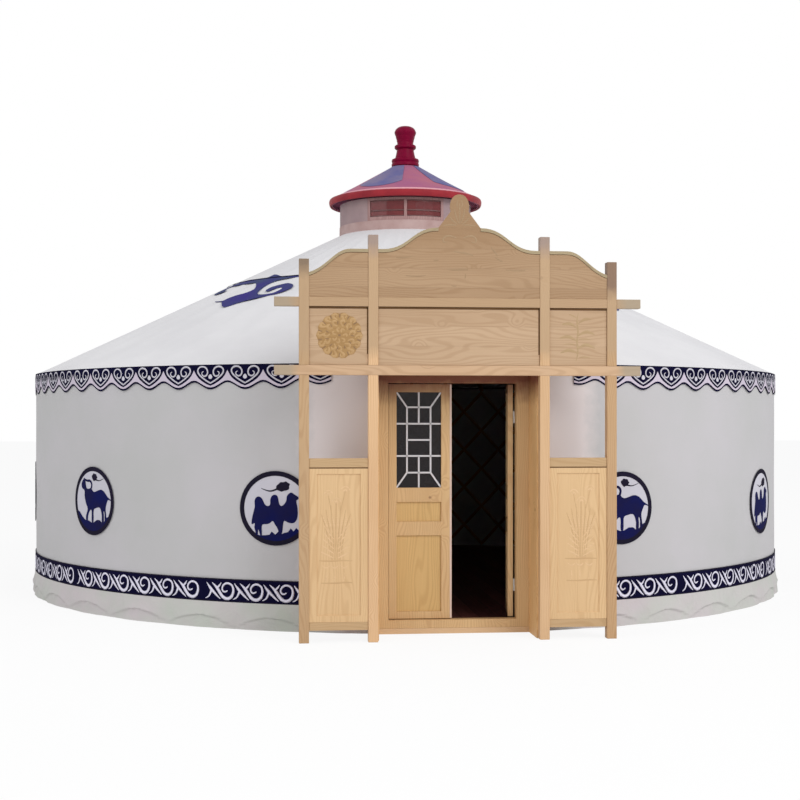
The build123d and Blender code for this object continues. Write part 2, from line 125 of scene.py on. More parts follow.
bpy.ops.object.camera_add(location=(-1.3603, -13.595, 1.5437), rotation=(pi / 2, 0, radians(-5.7138)))
camera = bpy.context.object
camera.data.sensor_width = 36
camera.data.lens = 62.746
camera.data.shift_x = -0.0066
camera.data.shift_y = 0.0276
bpy.context.scene.camera = camera
bpy.context.scene.view_settings.view_transform = "Standard"


# ---------------------------------------------------------------- floor
# Reddish brown boards run from the door to the back on joists that do not show.
# The room's slab and its tongue under the door are the CAD node; the boards are in its material.
def noise(tree, place, scale, detail=3.0, rough=0.5, bend=0.0):
    """Soft noise from 0 to 1."""
    return shader(tree, "TexNoise", {"Vector": place, "Scale": scale, "Detail": detail, "Roughness": rough,
                                     "Distortion": bend}).outputs["Fac"]


def mapped(tree, value, start, end, low=0.0, high=1.0, **settings):
    """A value carried from one range to another and held inside it."""
    return shader(tree, "MapRange", {"Value": value, "From Min": start, "From Max": end, "To Min": low,
                                     "To Max": high}, **settings).outputs[0]


def mixed(tree, share, first, second, **settings):
    """Two colours mixed; the share is that of the second."""
    return shader(tree, "Mix", {"Factor": share, "A": first, "B": second}, data_type="RGBA",
                  **settings).outputs["Result"]


def relief(tree, height, strength, deep, **inputs):
    """A fine relief from a height between 0 and 1."""
    inputs.update({"Height": height, "Strength": strength, "Distance": deep})
    return shader(tree, "Bump", inputs).outputs[0]


def surfaced(tree, output, inputs):
    """Ends a material in a surface with these settings."""
    body = shader(tree, "BsdfPrincipled", inputs)
    tree.links.new(body.outputs[0], output.inputs["Surface"])


def wood(name, pale, dark, grain="Z", boards=None, knots=0.0, offset=0.0, gloss=0.55, joint=1.0):
    """Wood with its grain along an axis. boards is (axis across them, their width, first joint), knots the
    size of the knots, offset the place in the log, gloss the roughness, joint how dark the joints are."""
    material, tree, output = empty_material(name)
    parts = shader(tree, "SeparateXYZ", {0: shader(tree, "TexCoord").outputs["Object"]}).outputs
    along = parts[grain]
    side, depth = [parts[axis] for axis in "XYZ" if axis != grain]
    if boards:
        axis, width, first = boards
        count = maths(tree, "DIVIDE", maths(tree, "SUBTRACT", parts[axis], first), width)
        index = maths(tree, "FLOOR", count)
        along = maths(tree, "ADD", along, maths(tree, "MULTIPLY", index, 3.71))
        clear = mapped(tree, maths(tree, "PINGPONG", count, 0.5), 0.0, 0.006 / width, 1.0 - joint, 1.0)
        board_tone = shader(tree, "TexWhiteNoise", {"W": index}, noise_dimensions="1D").outputs["Value"]
    point = shader(tree, "CombineXYZ", {"X": side, "Y": depth, "Z": along}).outputs[0]
    log_place = (offset, offset * 1.7, offset * 3.1)
    point = shader(tree, "Mapping", {"Vector": point, "Location": log_place}).outputs[0]

    def drawn_out(scale, rough=0.5):
        """Noise stretched along the grain."""
        moved = shader(tree, "Mapping", {"Vector": point, "Scale": scale}).outputs[0]
        return noise(tree, moved, 1.0, 2.0, rough)

    rings_across, rings_deep, waviness = 55.0, 40.0, 26.0
    cut = shader(tree, "SeparateXYZ", {0: point}).outputs
    ring = maths(tree, "MULTIPLY", cut["X"], rings_across)
    ring = maths(tree, "MULTIPLY_ADD", cut["Y"], rings_deep, ring)
    ring = maths(tree, "MULTIPLY_ADD", drawn_out((3.2, 3.2, 0.55)), waviness, ring)
    if knots:
        spot = shader(tree, "TexVoronoi", {"Vector": point, "Scale": 3.6}).outputs["Distance"]
        swirl = mapped(tree, spot, 0.02, 0.30, 3.2, 0.0, interpolation_type="SMOOTHSTEP")
        ring = maths(tree, "ADD", ring, swirl)
    wave = maths(tree, "SINE", maths(tree, "MULTIPLY", ring, 6.283))
    late = mapped(tree, wave, -0.3, 1.0, interpolation_type="SMOOTHSTEP")
    fibre = drawn_out((260, 260, 5), 0.6)
    shade = maths(tree, "MULTIPLY", late, 0.34)
    shade = maths(tree, "MULTIPLY_ADD", fibre, 0.35, shade)
    shade = maths(tree, "MULTIPLY_ADD", drawn_out((5, 5, 1.1)), 0.75, shade)
    if boards:
        shade = maths(tree, "MULTIPLY_ADD", board_tone, 0.30, shade)
    colour = mixed(tree, mapped(tree, shade, 0.30, 1.15), (*pale, 1), (*dark, 1))
    height = maths(tree, "MULTIPLY_ADD", fibre, 0.5, late)
    if knots:
        eye = mapped(tree, spot, 0.030 * knots, 0.055 * knots, 0.85, 0.0)
        colour = mixed(tree, eye, colour, (dark[0] * 0.38, dark[1] * 0.27, dark[2] * 0.2, 1))
    if boards:
        colour = mixed(tree, clear, (dark[0] * 0.35, dark[1] * 0.3, dark[2] * 0.25, 1), colour)
        height = maths(tree, "MULTIPLY_ADD", clear, 4.0, height)
    rough = mapped(tree, fibre, 0.0, 1.0, gloss - 0.08, gloss + 0.12)
    surfaced(tree, output, {"Base Color": colour, "Roughness": rough,
                            "Normal": relief(tree, height, 0.35, 0.0008)})
    return material


def dress(material, *names, bevel=0.0):
    """A CAD node's finish, and for sawn timber its eased edges."""
    for name in names:
        node = nodes[name]
        node.data.materials.clear()
        node.data.materials.append(material)
        if bevel:
            weld = node.modifiers.new("weld", "WELD")
            weld.merge_threshold = 0.00005
            ease = node.modifiers.new("eased_edges", "BEVEL")
            ease.width = bevel
            ease.segments = 2
            ease.limit_method = "ANGLE"
            ease.angle_limit = radians(40)


def weather_and_painted_light(material, axis, start, end, tone=(0.30, 0.225, 0.20), most=0.82):
    """Another tone beyond a height or a distance from the middle, or before it where start is past end. It
    serves for weathering, and for painted light beside the door and painted shade at the door head.
    """
    tree = material.node_tree
    body = [node for node in tree.nodes if node.type == "BSDF_PRINCIPLED"][0]
    place = shader(tree, "TexCoord").outputs["Object"]
    along = shader(tree, "SeparateXYZ", {0: place}).outputs[axis]
    uneven = 0.10
    away = maths(tree, "MULTIPLY_ADD", noise(tree, place, 14.0), uneven, maths(tree, "ABSOLUTE", along))
    share = mapped(tree, away, start + uneven / 2, end + uneven / 2, 0.0, most)
    fresh = body.inputs["Base Color"].links[0].from_socket
    tree.links.new(mixed(tree, share, fresh, (*tone, 1)), body.inputs["Base Color"])
    return material


floor_boards = wood("floor_boards", (0.33, 0.11, 0.095), (0.13, 0.042, 0.045), "Y", ("X", 0.14, 0.0),
                    gloss=0.42)
tongue_front = -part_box("floor")[0].y
weather_and_painted_light(floor_boards, "Y", tongue_front - 0.035, tongue_front - 0.025, (0.66, 0.44, 0.25), 1.0)
dress(floor_boards, "floor")


# ---------------------------------------------------------------- lattice walls, roof poles and crown
# Two layers of thin laths cross each other round the room and are tied at every crossing. Square
# poles rise from their heads to a wooden ring with a cross of spokes. All of it is oiled softwood;
# the laths are painted darker, as painted shade for the dark room seen through the door.
# Painted shade: the laths' tones are set dark so that the lattice reads dark inside the room.
lath_wood_painted_shade = wood("oiled_laths_painted_shade", (0.42, 0.22, 0.095), (0.26, 0.12, 0.05), "Z", knots=0.8)
pole_wood = wood("oiled_poles", (0.50, 0.25, 0.11), (0.28, 0.12, 0.05), "Z", offset=0.31)
dress(lath_wood_painted_shade, "lattice_inner_laths", "lattice_outer_laths")
dress(pole_wood, "roof_poles", "crown")


# ---------------------------------------------------------------- covers of the wall
# Four lengths of felt with canvas over it, stretched round the lattice and laced where they meet
# behind the valance. The canvas is an off-white cotton with soft upright folds below the eave. Beside
# the door its colour is painted lighter, as painted light on the cloth that the portal shades.
EAVE_RADIUS = 3.5
WALL_HEIGHT = 1.95
FIRST_BAY = 9.762
BAY = (360 - 2 * FIRST_BAY) / 48
SIDE_SEAM = FIRST_BAY + 12 * BAY


def select_only(piece):
    """Makes one piece the one that the next operator works on."""
    bpy.ops.object.select_all(action="DESELECT")
    piece.select_set(True)
    bpy.context.view_layer.objects.active = piece


def apply_modifier(piece, kind, **settings):
    """Adds a modifier to a piece and applies it."""
    select_only(piece)
    modifier = piece.modifiers.new(kind.lower(), kind)
    for name, value in settings.items():
        setattr(modifier, name, value)
    bpy.ops.object.modifier_apply(modifier=modifier.name)


def placed(piece, x=0.0, y=0.0, z=0.0):
    """Moves a piece's mesh and leaves its object at the origin."""
    select_only(piece)
    piece.location = (x, y, z)
    bpy.ops.object.transform_apply(location=True, rotation=True, scale=True)


def flat_cloth(name, width, height, across, up):
    """A level-woven panel that stands in the XZ plane, its lower left corner at the origin, facing -Y."""
    bpy.ops.mesh.primitive_grid_add(x_subdivisions=across, y_subdivisions=up, size=1)
    piece = bpy.context.object
    piece.name = name
    piece.scale = (width, height, 1)
    piece.rotation_euler = (pi / 2, 0, 0)
    bpy.ops.object.transform_apply(location=True, rotation=True, scale=True)
    placed(piece, width / 2, 0, height / 2)
    return piece


def wrapped(piece, radius=EAVE_RADIUS):
    """Bends a flat piece round the room: its X becomes the way round from the door, its -Y the way out."""
    placed(piece)
    xs = [corner.co.x for corner in piece.data.vertices]
    apply_modifier(piece, "SIMPLE_DEFORM", deform_method="BEND", deform_axis="Z",
                   angle=(max(xs) - min(xs)) / radius)
    placed(piece, 0, -radius, 0)


def thickened(piece, thickness, offset=1, smooth=0):
    """Gives a sheet its thickness, outward at 1 and inward at -1, and smooths it up to an angle."""
    apply_modifier(piece, "SOLIDIFY", thickness=thickness, offset=offset)
    if smooth:
        bpy.ops.object.shade_smooth_by_angle(angle=radians(smooth))


def fitted(piece, material, body="yurt"):
    """The finish of a piece made here, which rides with a body of the part."""
    piece.data.materials.clear()
    piece.data.materials.append(material)
    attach(piece, body)


def quarters(front_start):
    """Where the four covers of the wall or the roof lie, and the bearings at which they start and end."""
    for side, hand in (("right", 1), ("left", -1)):
        for place, near, far in (("front", front_start, SIDE_SEAM), ("back", SIDE_SEAM, 180)):
            yield f"{place}_{side}", *sorted((hand * near, hand * far))


def cloth(name, colour, second, weave=900.0, rough=0.85, wrinkle=0.004, patch=1.3, sheen=0.1, shine=0.15):
    """Woven cloth: two close tones in soft clouds, a fine weave, and shallow wrinkles."""
    material, tree, output = empty_material(name)
    place = shader(tree, "TexCoord").outputs["Object"]
    cloud = mapped(tree, noise(tree, place, patch, 4.0, 0.55), 0.32, 0.68)
    base = mixed(tree, cloud, (*colour, 1), (*second, 1))
    thread = noise(tree, place, weave, 2.0)
    base = mixed(tree, 1.0, base, mapped(tree, thread, 0.0, 1.0, 0.93, 1.04), blend_type="MULTIPLY")
    folds = relief(tree, noise(tree, place, 5.5, 5.0, 0.5, 0.6), 0.6, wrinkle)
    bump = relief(tree, thread, 0.25, 0.0006, Normal=folds)
    surfaced(tree, output, {"Base Color": base, "Roughness": rough, "Sheen Weight": sheen,
                            "Specular IOR Level": shine, "Normal": bump})
    return material


CANVAS_TONES = (0.55, 0.53, 0.545), (0.51, 0.505, 0.50)
canvas = cloth("wall_canvas", *CANVAS_TONES)
# Painted light: within about a metre of the door the front covers are tinted lighter, against the portal's
# shade.
front_canvas_painted_light = weather_and_painted_light(cloth("front_wall_canvas_painted_light", *CANVAS_TONES), "X", 1.14, 1.00, (0.78, 0.71, 0.71))
CANVAS_THICK, CANVAS_INSET = 0.013, 0.0055
FOLD_DEEP, PULL_DEEP = 0.0030, 0.0022
for place, start, end in quarters(FIRST_BAY):
    length = radians(end - start) * EAVE_RADIUS
    wall = flat_cloth("wall_canvas_" + place, length, WALL_HEIGHT, 260, 60)
    placed(wall, radians(start) * EAVE_RADIUS, 0, 0)
    for corner in wall.data.vertices:
        x, z = corner.co.x, corner.co.z
        hang = (z / WALL_HEIGHT) ** 2
        fold = sin(x * 10.1 + 1.3 * sin(x * 1.1) + 0.5 * z) * (0.35 + 0.65 * hang)
        pull = sin(x * 4.3 + z * 3.1) * sin(x * 1.9 - z * 2.3)
        corner.co.y = CANVAS_INSET - FOLD_DEEP * fold - PULL_DEEP * pull
    wrapped(wall)
    thickened(wall, CANVAS_THICK, -1, 60)
    fitted(wall, front_canvas_painted_light if "front" in place else canvas)
    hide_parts("wall_cover_" + place)


# ---------------------------------------------------------------- covers of the roof
# Four sectors of felt and canvas lie on the poles from the eave to the crown and sink a little
# between one pole and the next. A thin navy line is sewn round them at half height.
ROOF_SLOPE = 0.481
EAVE_HEIGHT = 1.9763
CROWN_RADIUS = 0.64
ROOF_SAG = 0.009
RAFTER_PARTS = 36


def roof_height(radius):
    """Height of the outside of the roof at a radius."""
    return EAVE_HEIGHT + ROOF_SLOPE * (EAVE_RADIUS - radius)


def added(name, data):
    """A new object of a mesh or a curve."""
    piece = bpy.data.objects.new(name, data)
    bpy.context.scene.collection.objects.link(piece)
    return piece


@contextmanager
def editing(piece):
    """Edit mode on one piece, all of it selected."""
    select_only(piece)
    bpy.ops.object.mode_set(mode="EDIT")
    bpy.ops.mesh.select_all(action="SELECT")
    yield
    bpy.ops.object.mode_set(mode="OBJECT")


def spun(name, profile, start, end, steps):
    """A profile of (radius, height) points carried round the axis from one bearing to another."""
    mesh = bpy.data.meshes.new(name)
    turn = radians(start)
    mesh.from_pydata([(radius * sin(turn), -radius * cos(turn), height) for radius, height in profile],
                     [(point, point + 1) for point in range(len(profile) - 1)], [])
    piece = added(name, mesh)
    with editing(piece):
        bpy.ops.mesh.spin(steps=steps, angle=-radians(end - start), center=(0, 0, 0), axis=(0, 0, 1))
        bpy.ops.mesh.select_all(action="SELECT")
        bpy.ops.mesh.remove_doubles(threshold=0.00002)
        bpy.ops.mesh.normals_make_consistent(inside=False)
    return piece


def polar(corner):
    """A corner's distance from the axis and its bearing from the door, in radians."""
    return math.hypot(corner.co.x, corner.co.y), math.atan2(corner.co.x, -corner.co.y)


def laid_upward(piece):
    """Turns an open piece's faces up."""
    if sum(face.normal.z for face in piece.data.polygons) < 0:
        piece.data.flip_normals()


def bay_share(bearing):
    """How far a bearing is past the last pole, from 0 to 1."""
    away = abs(bearing)
    return (away / (FIRST_BAY / 2) if away < FIRST_BAY else (away - FIRST_BAY) / BAY) % 1


roof_canvas = cloth("roof_canvas", (0.80, 0.79, 0.80), (0.73, 0.72, 0.735))
crown_edge = CROWN_RADIUS + 0.002
radii = [EAVE_RADIUS + (crown_edge - EAVE_RADIUS) * part / RAFTER_PARTS for part in range(RAFTER_PARTS + 1)]
rafter_line = [(radius, roof_height(radius) - 0.002) for radius in radii]
for place, start, end in quarters(0):
    width = radians(end - start)
    roof = spun("roof_canvas_" + place, rafter_line, start, end, 168)
    for corner in roof.data.vertices:
        radius, turn = polar(corner)
        reach = min(max((radius - CROWN_RADIUS) / (EAVE_RADIUS - CROWN_RADIUS), 0), 1)
        corner.co.z -= ROOF_SAG * sin(pi * bay_share(math.degrees(turn))) * sin(pi * reach) ** 0.5
    laid_upward(roof)
    thickened(roof, 0.012, -1, 50)
    fitted(roof, roof_canvas)
    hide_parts("roof_cover_" + place)

navy = cloth("navy_cloth", (0.0055, 0.0050, 0.030), (0.0040, 0.0035, 0.020), weave=700, wrinkle=0.001,
             sheen=0.0, shine=0.03)
line_edges = [(radius, roof_height(radius) + 0.001) for radius in (1.744, 1.718)]
line = spun("roof_ring_line", line_edges, 0, 360, 240)
laid_upward(line)
thickened(line, 0.0015)
fitted(line, navy)


# ---------------------------------------------------------------- valance
# A navy band hangs from the eave, from one side of the door round to the other, and is cut in
# scallops. Each scallop carries a white ram's-horn heart with a small lozenge; a pale border with
# pointed tongues follows the edge.
def laid_outward(piece):
    """Turns an open piece's faces away from the axis of the room."""
    if sum(face.normal.xy.dot(face.center.xy) for face in piece.data.polygons) < 0:
        piece.data.flip_normals()


def hung(piece, thickness, offset=1, smooth=0):
    """Wraps a sheet round the room, its faces outward, and gives it its thickness."""
    wrapped(piece)
    laid_outward(piece)
    thickened(piece, thickness, offset, smooth)


def strip(name, points, flatness=0.14):
    """A sewn strip in the XZ plane along (x, z, half width) points, in millimetres."""
    curve = bpy.data.curves.new(name, "CURVE")
    curve.dimensions = "3D"
    curve.bevel_depth = 0.001
    curve.bevel_resolution = 0
    curve.use_fill_caps = True
    curve.resolution_u = 3
    spline = curve.splines.new("NURBS")
    spline.points.add(len(points) - 1)
    for point, (x, z, half) in zip(spline.points, points):
        point.co = (x / 1000, 0, z / 1000, 1)
        point.radius = half
    spline.order_u = 3
    spline.use_endpoint_u = True
    piece = added(name, curve)
    select_only(piece)
    bpy.ops.object.convert(target="MESH")
    piece.scale = (1, flatness, 1)
    bpy.ops.object.transform_apply(location=False, rotation=False, scale=True)
    return piece


def cut_out(name, outlines, thickness=0.0012, smooth=False):
    """Cloth cut to closed outlines of (x, z) points in millimetres; an outline inside another is a hole."""
    curve = bpy.data.curves.new(name, "CURVE")
    curve.dimensions = "2D"
    curve.fill_mode = "BOTH"
    curve.extrude = thickness / 2
    curve.resolution_u = 2
    for outline in outlines:
        edge = curve.splines.new("NURBS" if smooth else "POLY")
        edge.points.add(len(outline) - 1)
        for point, (x, z) in zip(edge.points, outline):
            point.co = (x / 1000, z / 1000, 0, 1)
        edge.use_cyclic_u = True
        if smooth:
            edge.order_u = 3
    piece = added(name, curve)
    select_only(piece)
    bpy.ops.object.convert(target="MESH")
    piece.rotation_euler = (pi / 2, 0, 0)
    bpy.ops.object.transform_apply(location=False, rotation=True, scale=False)
    return piece


def mirrored(outline):
    """The other half of a symmetric outline or strip."""
    return [(-point[0], *point[1:]) for point in reversed(outline)]


def joined(name, pieces):
    """Several pieces made one."""
    bpy.ops.object.select_all(action="DESELECT")
    for piece in pieces:
        piece.select_set(True)
    bpy.context.view_layer.objects.active = pieces[0]
    if len(pieces) > 1:
        bpy.ops.object.join()
    piece = bpy.context.object
    piece.name = name
    piece.data.name = name
    return piece


def diced(piece, pitch=0.045):
    """Cuts a piece upright at a close pitch, so that it can bend round the wall."""
    xs = [corner.co.x for corner in piece.data.vertices]
    cut = math.ceil(min(xs) / pitch) * pitch
    with editing(piece):
        while cut < max(xs):
            bpy.ops.mesh.select_all(action="SELECT")
            bpy.ops.mesh.bisect(plane_co=(cut, 0, 0), plane_no=(1, 0, 0))
            cut += pitch
    return piece


def laid_out(name, motif, places, height, lift):
    """Copies of a motif at several places along the way round the wall, made one piece; the motif goes."""
    copies = []
    for place in places:
        copy = added(name, motif.data.copy())
        placed(copy, place, -lift, height)
        copies.append(copy)
    bpy.data.objects.remove(motif)
    return joined(name, copies)


VALANCE_TOP, VALANCE_DEEP, SCALLOP_DEEP, MEAN_DEEP = 1.976, 0.187, 0.054, 0.156
RING = 2 * pi * EAVE_RADIUS
TONGUES = 69
FIRST_TONGUE = radians(15.95) * EAVE_RADIUS
SCALLOP = (RING - 2 * FIRST_TONGUE) / (TONGUES - 1)
VALANCE_START, VALANCE_END = radians(15.3) * EAVE_RADIUS, RING - radians(14.6) * EAVE_RADIUS
DRAWN_FROM, DRAWN_OVER, DRAWN_MOST = 21.6, 5.6, 0.17


def drawn_up(piece):
    """Lets the valance grow shallower towards the door, by bearings in degrees."""
    for corner in piece.data.vertices:
        away = math.degrees(min(corner.co.x, RING - corner.co.x) / EAVE_RADIUS)
        share = min(max((DRAWN_FROM - away) / DRAWN_OVER, 0), 1)
        corner.co.z = VALANCE_TOP - (VALANCE_TOP - corner.co.z) * (1 - DRAWN_MOST * share)


def trimmed(piece):
    """Cuts a row of sewn pieces off at the two ends of the valance."""
    with editing(piece):
        for x, side in ((VALANCE_START, -1), (VALANCE_END, 1)):
            bpy.ops.mesh.select_all(action="SELECT")
            bpy.ops.mesh.bisect(plane_co=(x, 0, 0), plane_no=(side, 0, 0), clear_outer=True, use_fill=True)


valance = flat_cloth("valance_cloth", VALANCE_END - VALANCE_START, 1.0, 1080, 6)
placed(valance, VALANCE_START)
for corner in valance.data.vertices:
    swing = abs((((corner.co.x - FIRST_TONGUE) / SCALLOP) % 1) - 0.5) * 2
    drop = VALANCE_DEEP - SCALLOP_DEEP + SCALLOP_DEEP * (0.5 - 0.5 * cos(pi * swing)) ** 0.9
    corner.co.z = VALANCE_TOP - (1 - corner.co.z) * drop
    flare = 1 - (VALANCE_TOP - corner.co.z) / VALANCE_DEEP * 0.5
    corner.co.y = -0.0015 - 0.0015 * sin(corner.co.x * 7.3) * flare
drawn_up(valance)
hung(valance, 0.0015)
fitted(valance, navy)
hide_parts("valance")

heart_cloth = cloth("heart_cloth", (0.66, 0.64, 0.70), (0.60, 0.58, 0.65), weave=700, wrinkle=0.0005)
blush = cloth("blush_cloth", (0.62, 0.545, 0.63), (0.57, 0.51, 0.60), weave=700, wrinkle=0.0005)
horn = [(0, -140, 6), (37, -122, 6), (78, -94, 6.5), (108, -68, 7), (116, -38, 7), (94, -17, 7),
        (64, -14, 7), (36, -25, 6.5), (22, -54, 6.5), (32, -83, 6.5), (60, -90, 6), (79, -72, 5),
        (73, -53, 4), (60, -51, 2.5)]
lozenge = [(0, -66), (19, -90), (14, -104), (0, -110), (-14, -104), (-19, -90)]
heart = joined("heart", [strip("horn", horn), strip("horn", mirrored(horn)),
                         cut_out("lozenge", [lozenge], 0.002, smooth=True)])
border_top = [(0, -160), (35, -147), (73, -126), (104, -104), (124, -82), (137, -62), (147.3, -42)]
border_foot = [(147.3, -119), (124, -122), (95, -136), (60, -155), (29, -168), (0, -172)]
border = cut_out("border", [border_top + border_foot + mirrored(border_top + border_foot)[1:-1]], 0.002)
around = [FIRST_TONGUE + SCALLOP * step for step in range(TONGUES)]
for name, motif, lift, finish in (("valance_hearts", heart, 0.0042, heart_cloth),
                                  ("valance_border", border, 0.0040, blush)):
    row = laid_out(name, diced(motif), around, VALANCE_TOP, lift)
    trimmed(row)
    drawn_up(row)
    wrapped(row)
    fitted(row, finish)


# ---------------------------------------------------------------- lower band
# A navy band with dark edges is sewn round the foot of the wall. It is printed in lengths of six
# white scrolls, each with a crossed tie beside it, and the lengths meet at the back.
BAND_FOOT, BAND_TOP, BAND_EDGE = 0.1985, 0.372, 0.009
DOOR_EDGE = radians(9.9) * EAVE_RADIUS
WAY_ROUND = RING - 2 * DOOR_EDGE
dark_edge = cloth("dark_edging", (0.012, 0.011, 0.020), (0.016, 0.012, 0.030), weave=700, wrinkle=0.0005,
                  sheen=0.0, shine=0.05)
white_cloth = cloth("white_cloth", (0.83, 0.80, 0.93), (0.76, 0.74, 0.86), weave=700, wrinkle=0.0005)
band = flat_cloth("lower_band", WAY_ROUND, BAND_TOP - BAND_FOOT, 420, 3)
placed(band, DOOR_EDGE, -0.0005, BAND_FOOT)
hung(band, 0.001)
fitted(band, navy)
edges = []
for height in (BAND_FOOT, BAND_TOP - BAND_EDGE):
    edge = flat_cloth("edge", WAY_ROUND, BAND_EDGE, 420, 1)
    placed(edge, DOOR_EDGE, -0.0018, height)
    edges.append(edge)
edges = joined("lower_band_edging", edges)
hung(edges, 0.0008)
fitted(edges, dark_edge)
scroll = [(-132, 60, 2), (-108, 40, 8), (-86, 18, 12), (-64, -13, 13), (-40, -45, 13), (-4, -61, 12),
          (34, -47, 12), (54, -4, 10), (48, 40, 8), (12, 62, 8), (-26, 54, 8), (-46, 24, 7), (-40, -2, 7),
          (-16, -10, 7), (2, 4, 4)]
prong = [(-52, 62, 2), (-60, 48, 6), (-72, 34, 8), (-86, 22, 9)]
tie = [(-180, 60, 2), (-160, 34, 8), (-140, 10, 13), (-112, -16, 10), (-84, -42, 7), (-60, -60, 3)]
tie_leg = [(-136, 8, 8), (-143, -14, 9), (-154, -38, 7), (-172, -54, 5), (-190, -60, 2)]
scroll_unit = joined("scroll_unit", [strip("scroll", line, 0.1) for line in (scroll, prong, tie, tie_leg)])
SEAMS = [radians(31.84 + 24.65 * step) * EAVE_RADIUS for step in range(6)]
UNIT, LEAD, TAIL = [radians(turn) * EAVE_RADIUS for turn in (3.92, 3.8, 1.25)]
places = []
for seam in SEAMS:
    for step in range(6):
        places += [seam + LEAD + UNIT * step, RING - seam - TAIL - UNIT * step]
for step in range(5):
    places += [SEAMS[0] - TAIL - UNIT * step, RING - SEAMS[0] + LEAD + UNIT * step]
scrolls = laid_out("lower_band_scrolls", diced(scroll_unit), places, 0.2805, 0.0030)
wrapped(scrolls)
fitted(scrolls, white_cloth)


# ---------------------------------------------------------------- ground skirt
# A strip of canvas closes the foot of the wall. It is gathered on a draw cord and stands in puckers:
# each swells out below the cord and turns in again under an arched crease, just off the ground.
SKIRT_TOP, SKIRT_FOOT = 0.1985, 0.003
PUCKER_DEEP, CREASE_DEEP = 0.0230, 0.0028
skirt_cloth = cloth("skirt_canvas", (0.60, 0.545, 0.555), (0.54, 0.57, 0.51), patch=2.2, wrinkle=0.026)
skirt = flat_cloth("skirt_canvas", WAY_ROUND, SKIRT_TOP - SKIRT_FOOT, 900, 28)
placed(skirt, DOOR_EDGE, 0, SKIRT_FOOT)
for corner in skirt.data.vertices:
    x, fall = corner.co.x, max(0, 1 - corner.co.z / SKIRT_TOP)
    arch = abs(sin(x * 5.6 + 0.9 * sin(x * 0.83)))
    turn_in = 0.94 - 0.42 * arch
    if fall < turn_in:
        pucker = (fall / turn_in) ** 1.6
    else:
        pucker = 0.30 + 0.60 * (fall - turn_in) / (1 - turn_in)
    crease = sin(x * 23 + 2.5 * sin(x * 5.3) + 7 * fall) * fall ** 0.5
    corner.co.y = -0.0045 - PUCKER_DEEP * pucker * (0.25 + 0.75 * arch) - CREASE_DEEP * crease
hung(skirt, 0.002, -1, 60)
fitted(skirt, skirt_cloth)
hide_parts("ground_skirt")


# ---------------------------------------------------------------- roundels
# Eleven white roundels in dark rings stand at breast height round the wall, a camel and a goat by
# turns, each in navy on dark turf under a small cloud. They are cut from cloth and sewn on flat.
HOOP_WIDE, HOOP_TALL, HOOP_BORDER = 287, 276, 36
TURF_WIDE, TURF_TALL = 253, 242
beast_navy = cloth("beast_navy_cloth", (0.006, 0.009, 0.080), (0.012, 0.011, 0.050), weave=700,
                   wrinkle=0.0005, patch=5.0, sheen=0.0, shine=0.05)
roundel_white = cloth("roundel_white", (0.60, 0.585, 0.65), (0.54, 0.525, 0.58), weave=700, wrinkle=0.0005)


def oval(wide, tall, turns):
    """Points of an oval, in millimetres, at bearings in degrees."""
    return [(wide * cos(radians(turn)), tall * sin(radians(turn))) for turn in turns]


ring_edge = oval(HOOP_WIDE, HOOP_TALL, [7.5 * turn for turn in range(48)])
white_disc = oval(HOOP_WIDE - HOOP_BORDER, HOOP_TALL - HOOP_BORDER, [7.5 * turn for turn in range(48)])
camel = [(-195, -125), (-184, -61), (-170, -14), (-163, 14), (-168, 47), (-161, 72), (-143, 86), (-123, 85),
         (-105, 71), (-92, 42), (-78, 19), (-55, 14), (-39, 26), (-42, 59), (-34, 85), (-18, 100), (3, 101),
         (18, 90), (24, 64), (29, 33), (43, 15), (63, 24), (81, 45), (89, 71), (87, 90), (107, 113),
         (126, 120), (143, 108), (159, 97), (182, 85), (179, 66), (159, 64), (169, 28), (176, -33),
         (169, -80), (146, -108), (116, -109), (88, -99), (69, -86), (61, -109), (58, -142), (51, -200),
         (24, -200), (25, -165), (11, -137), (-5, -118), (-13, -99), (-25, -92), (-43, -113), (-76, -120),
         (-106, -117), (-110, -151), (-104, -208), (-120, -210), (-130, -170), (-140, -151), (-137, -200),
         (-155, -200), (-161, -165), (-170, -142), (-161, -109), (-176, -118)]
goat = [(254, 16), (206, 38), (182, 64), (150, 88), (110, 97), (60, 82), (20, 70), (-8, 82), (-22, 108),
        (-44, 100), (-70, 92), (-96, 98), (-106, 120), (-112, 150), (-126, 190), (-152, 168), (-178, 138),
        (-176, 110), (-158, 92), (-134, 90), (-124, 66), (-130, 40), (-116, 0), (-98, -36), (-78, -56),
        (-80, -84), (-106, -118), (-104, -176), (-74, -176), (-76, -122), (-46, -78), (-20, -66),
        (-14, -100), (-20, -176), (14, -176), (10, -100), (14, -64), (40, -58), (70, -50), (100, -48),
        (114, -62), (134, -110), (126, -176), (158, -176), (160, -112), (152, -76), (164, -72), (172, -112),
        (166, -150), (196, -150), (190, -110), (182, -65), (184, -36), (203, -2), (214, 22), (252, 6)]
goat_horn = [(-122, 168, 8), (-84, 158, 9), (-42, 164, 10), (-14, 140, 10), (-20, 104, 10), (-34, 80, 10)]
camel_turf = [(212, -150), (180, -158), (162, -142), (142, -168), (120, -146), (98, -174), (70, -180),
              (42, -192), (22, -172), (0, -194), (-30, -172), (-46, -196), (-80, -200), (-120, -202),
              (-176, -190)]
goat_turf = [(232, -112), (200, -126), (180, -136), (160, -160), (130, -168), (100, -150), (60, -150),
             (20, -170), (-20, -174), (-60, -160), (-100, -162), (-130, -150), (-153, -137), (-180, -118),
             (-205, -96), (-240, -84)]
camel_cloud = [(4, 150), (10, 172), (26, 178), (38, 197), (62, 191), (82, 203), (98, 188), (118, 182),
               (104, 164), (110, 146), (90, 132), (70, 132), (46, 120), (30, 132), (10, 134)]
camel_wisp = [(16, 144, 7), (-24, 126, 6), (-66, 128, 4), (-112, 146, 2)]
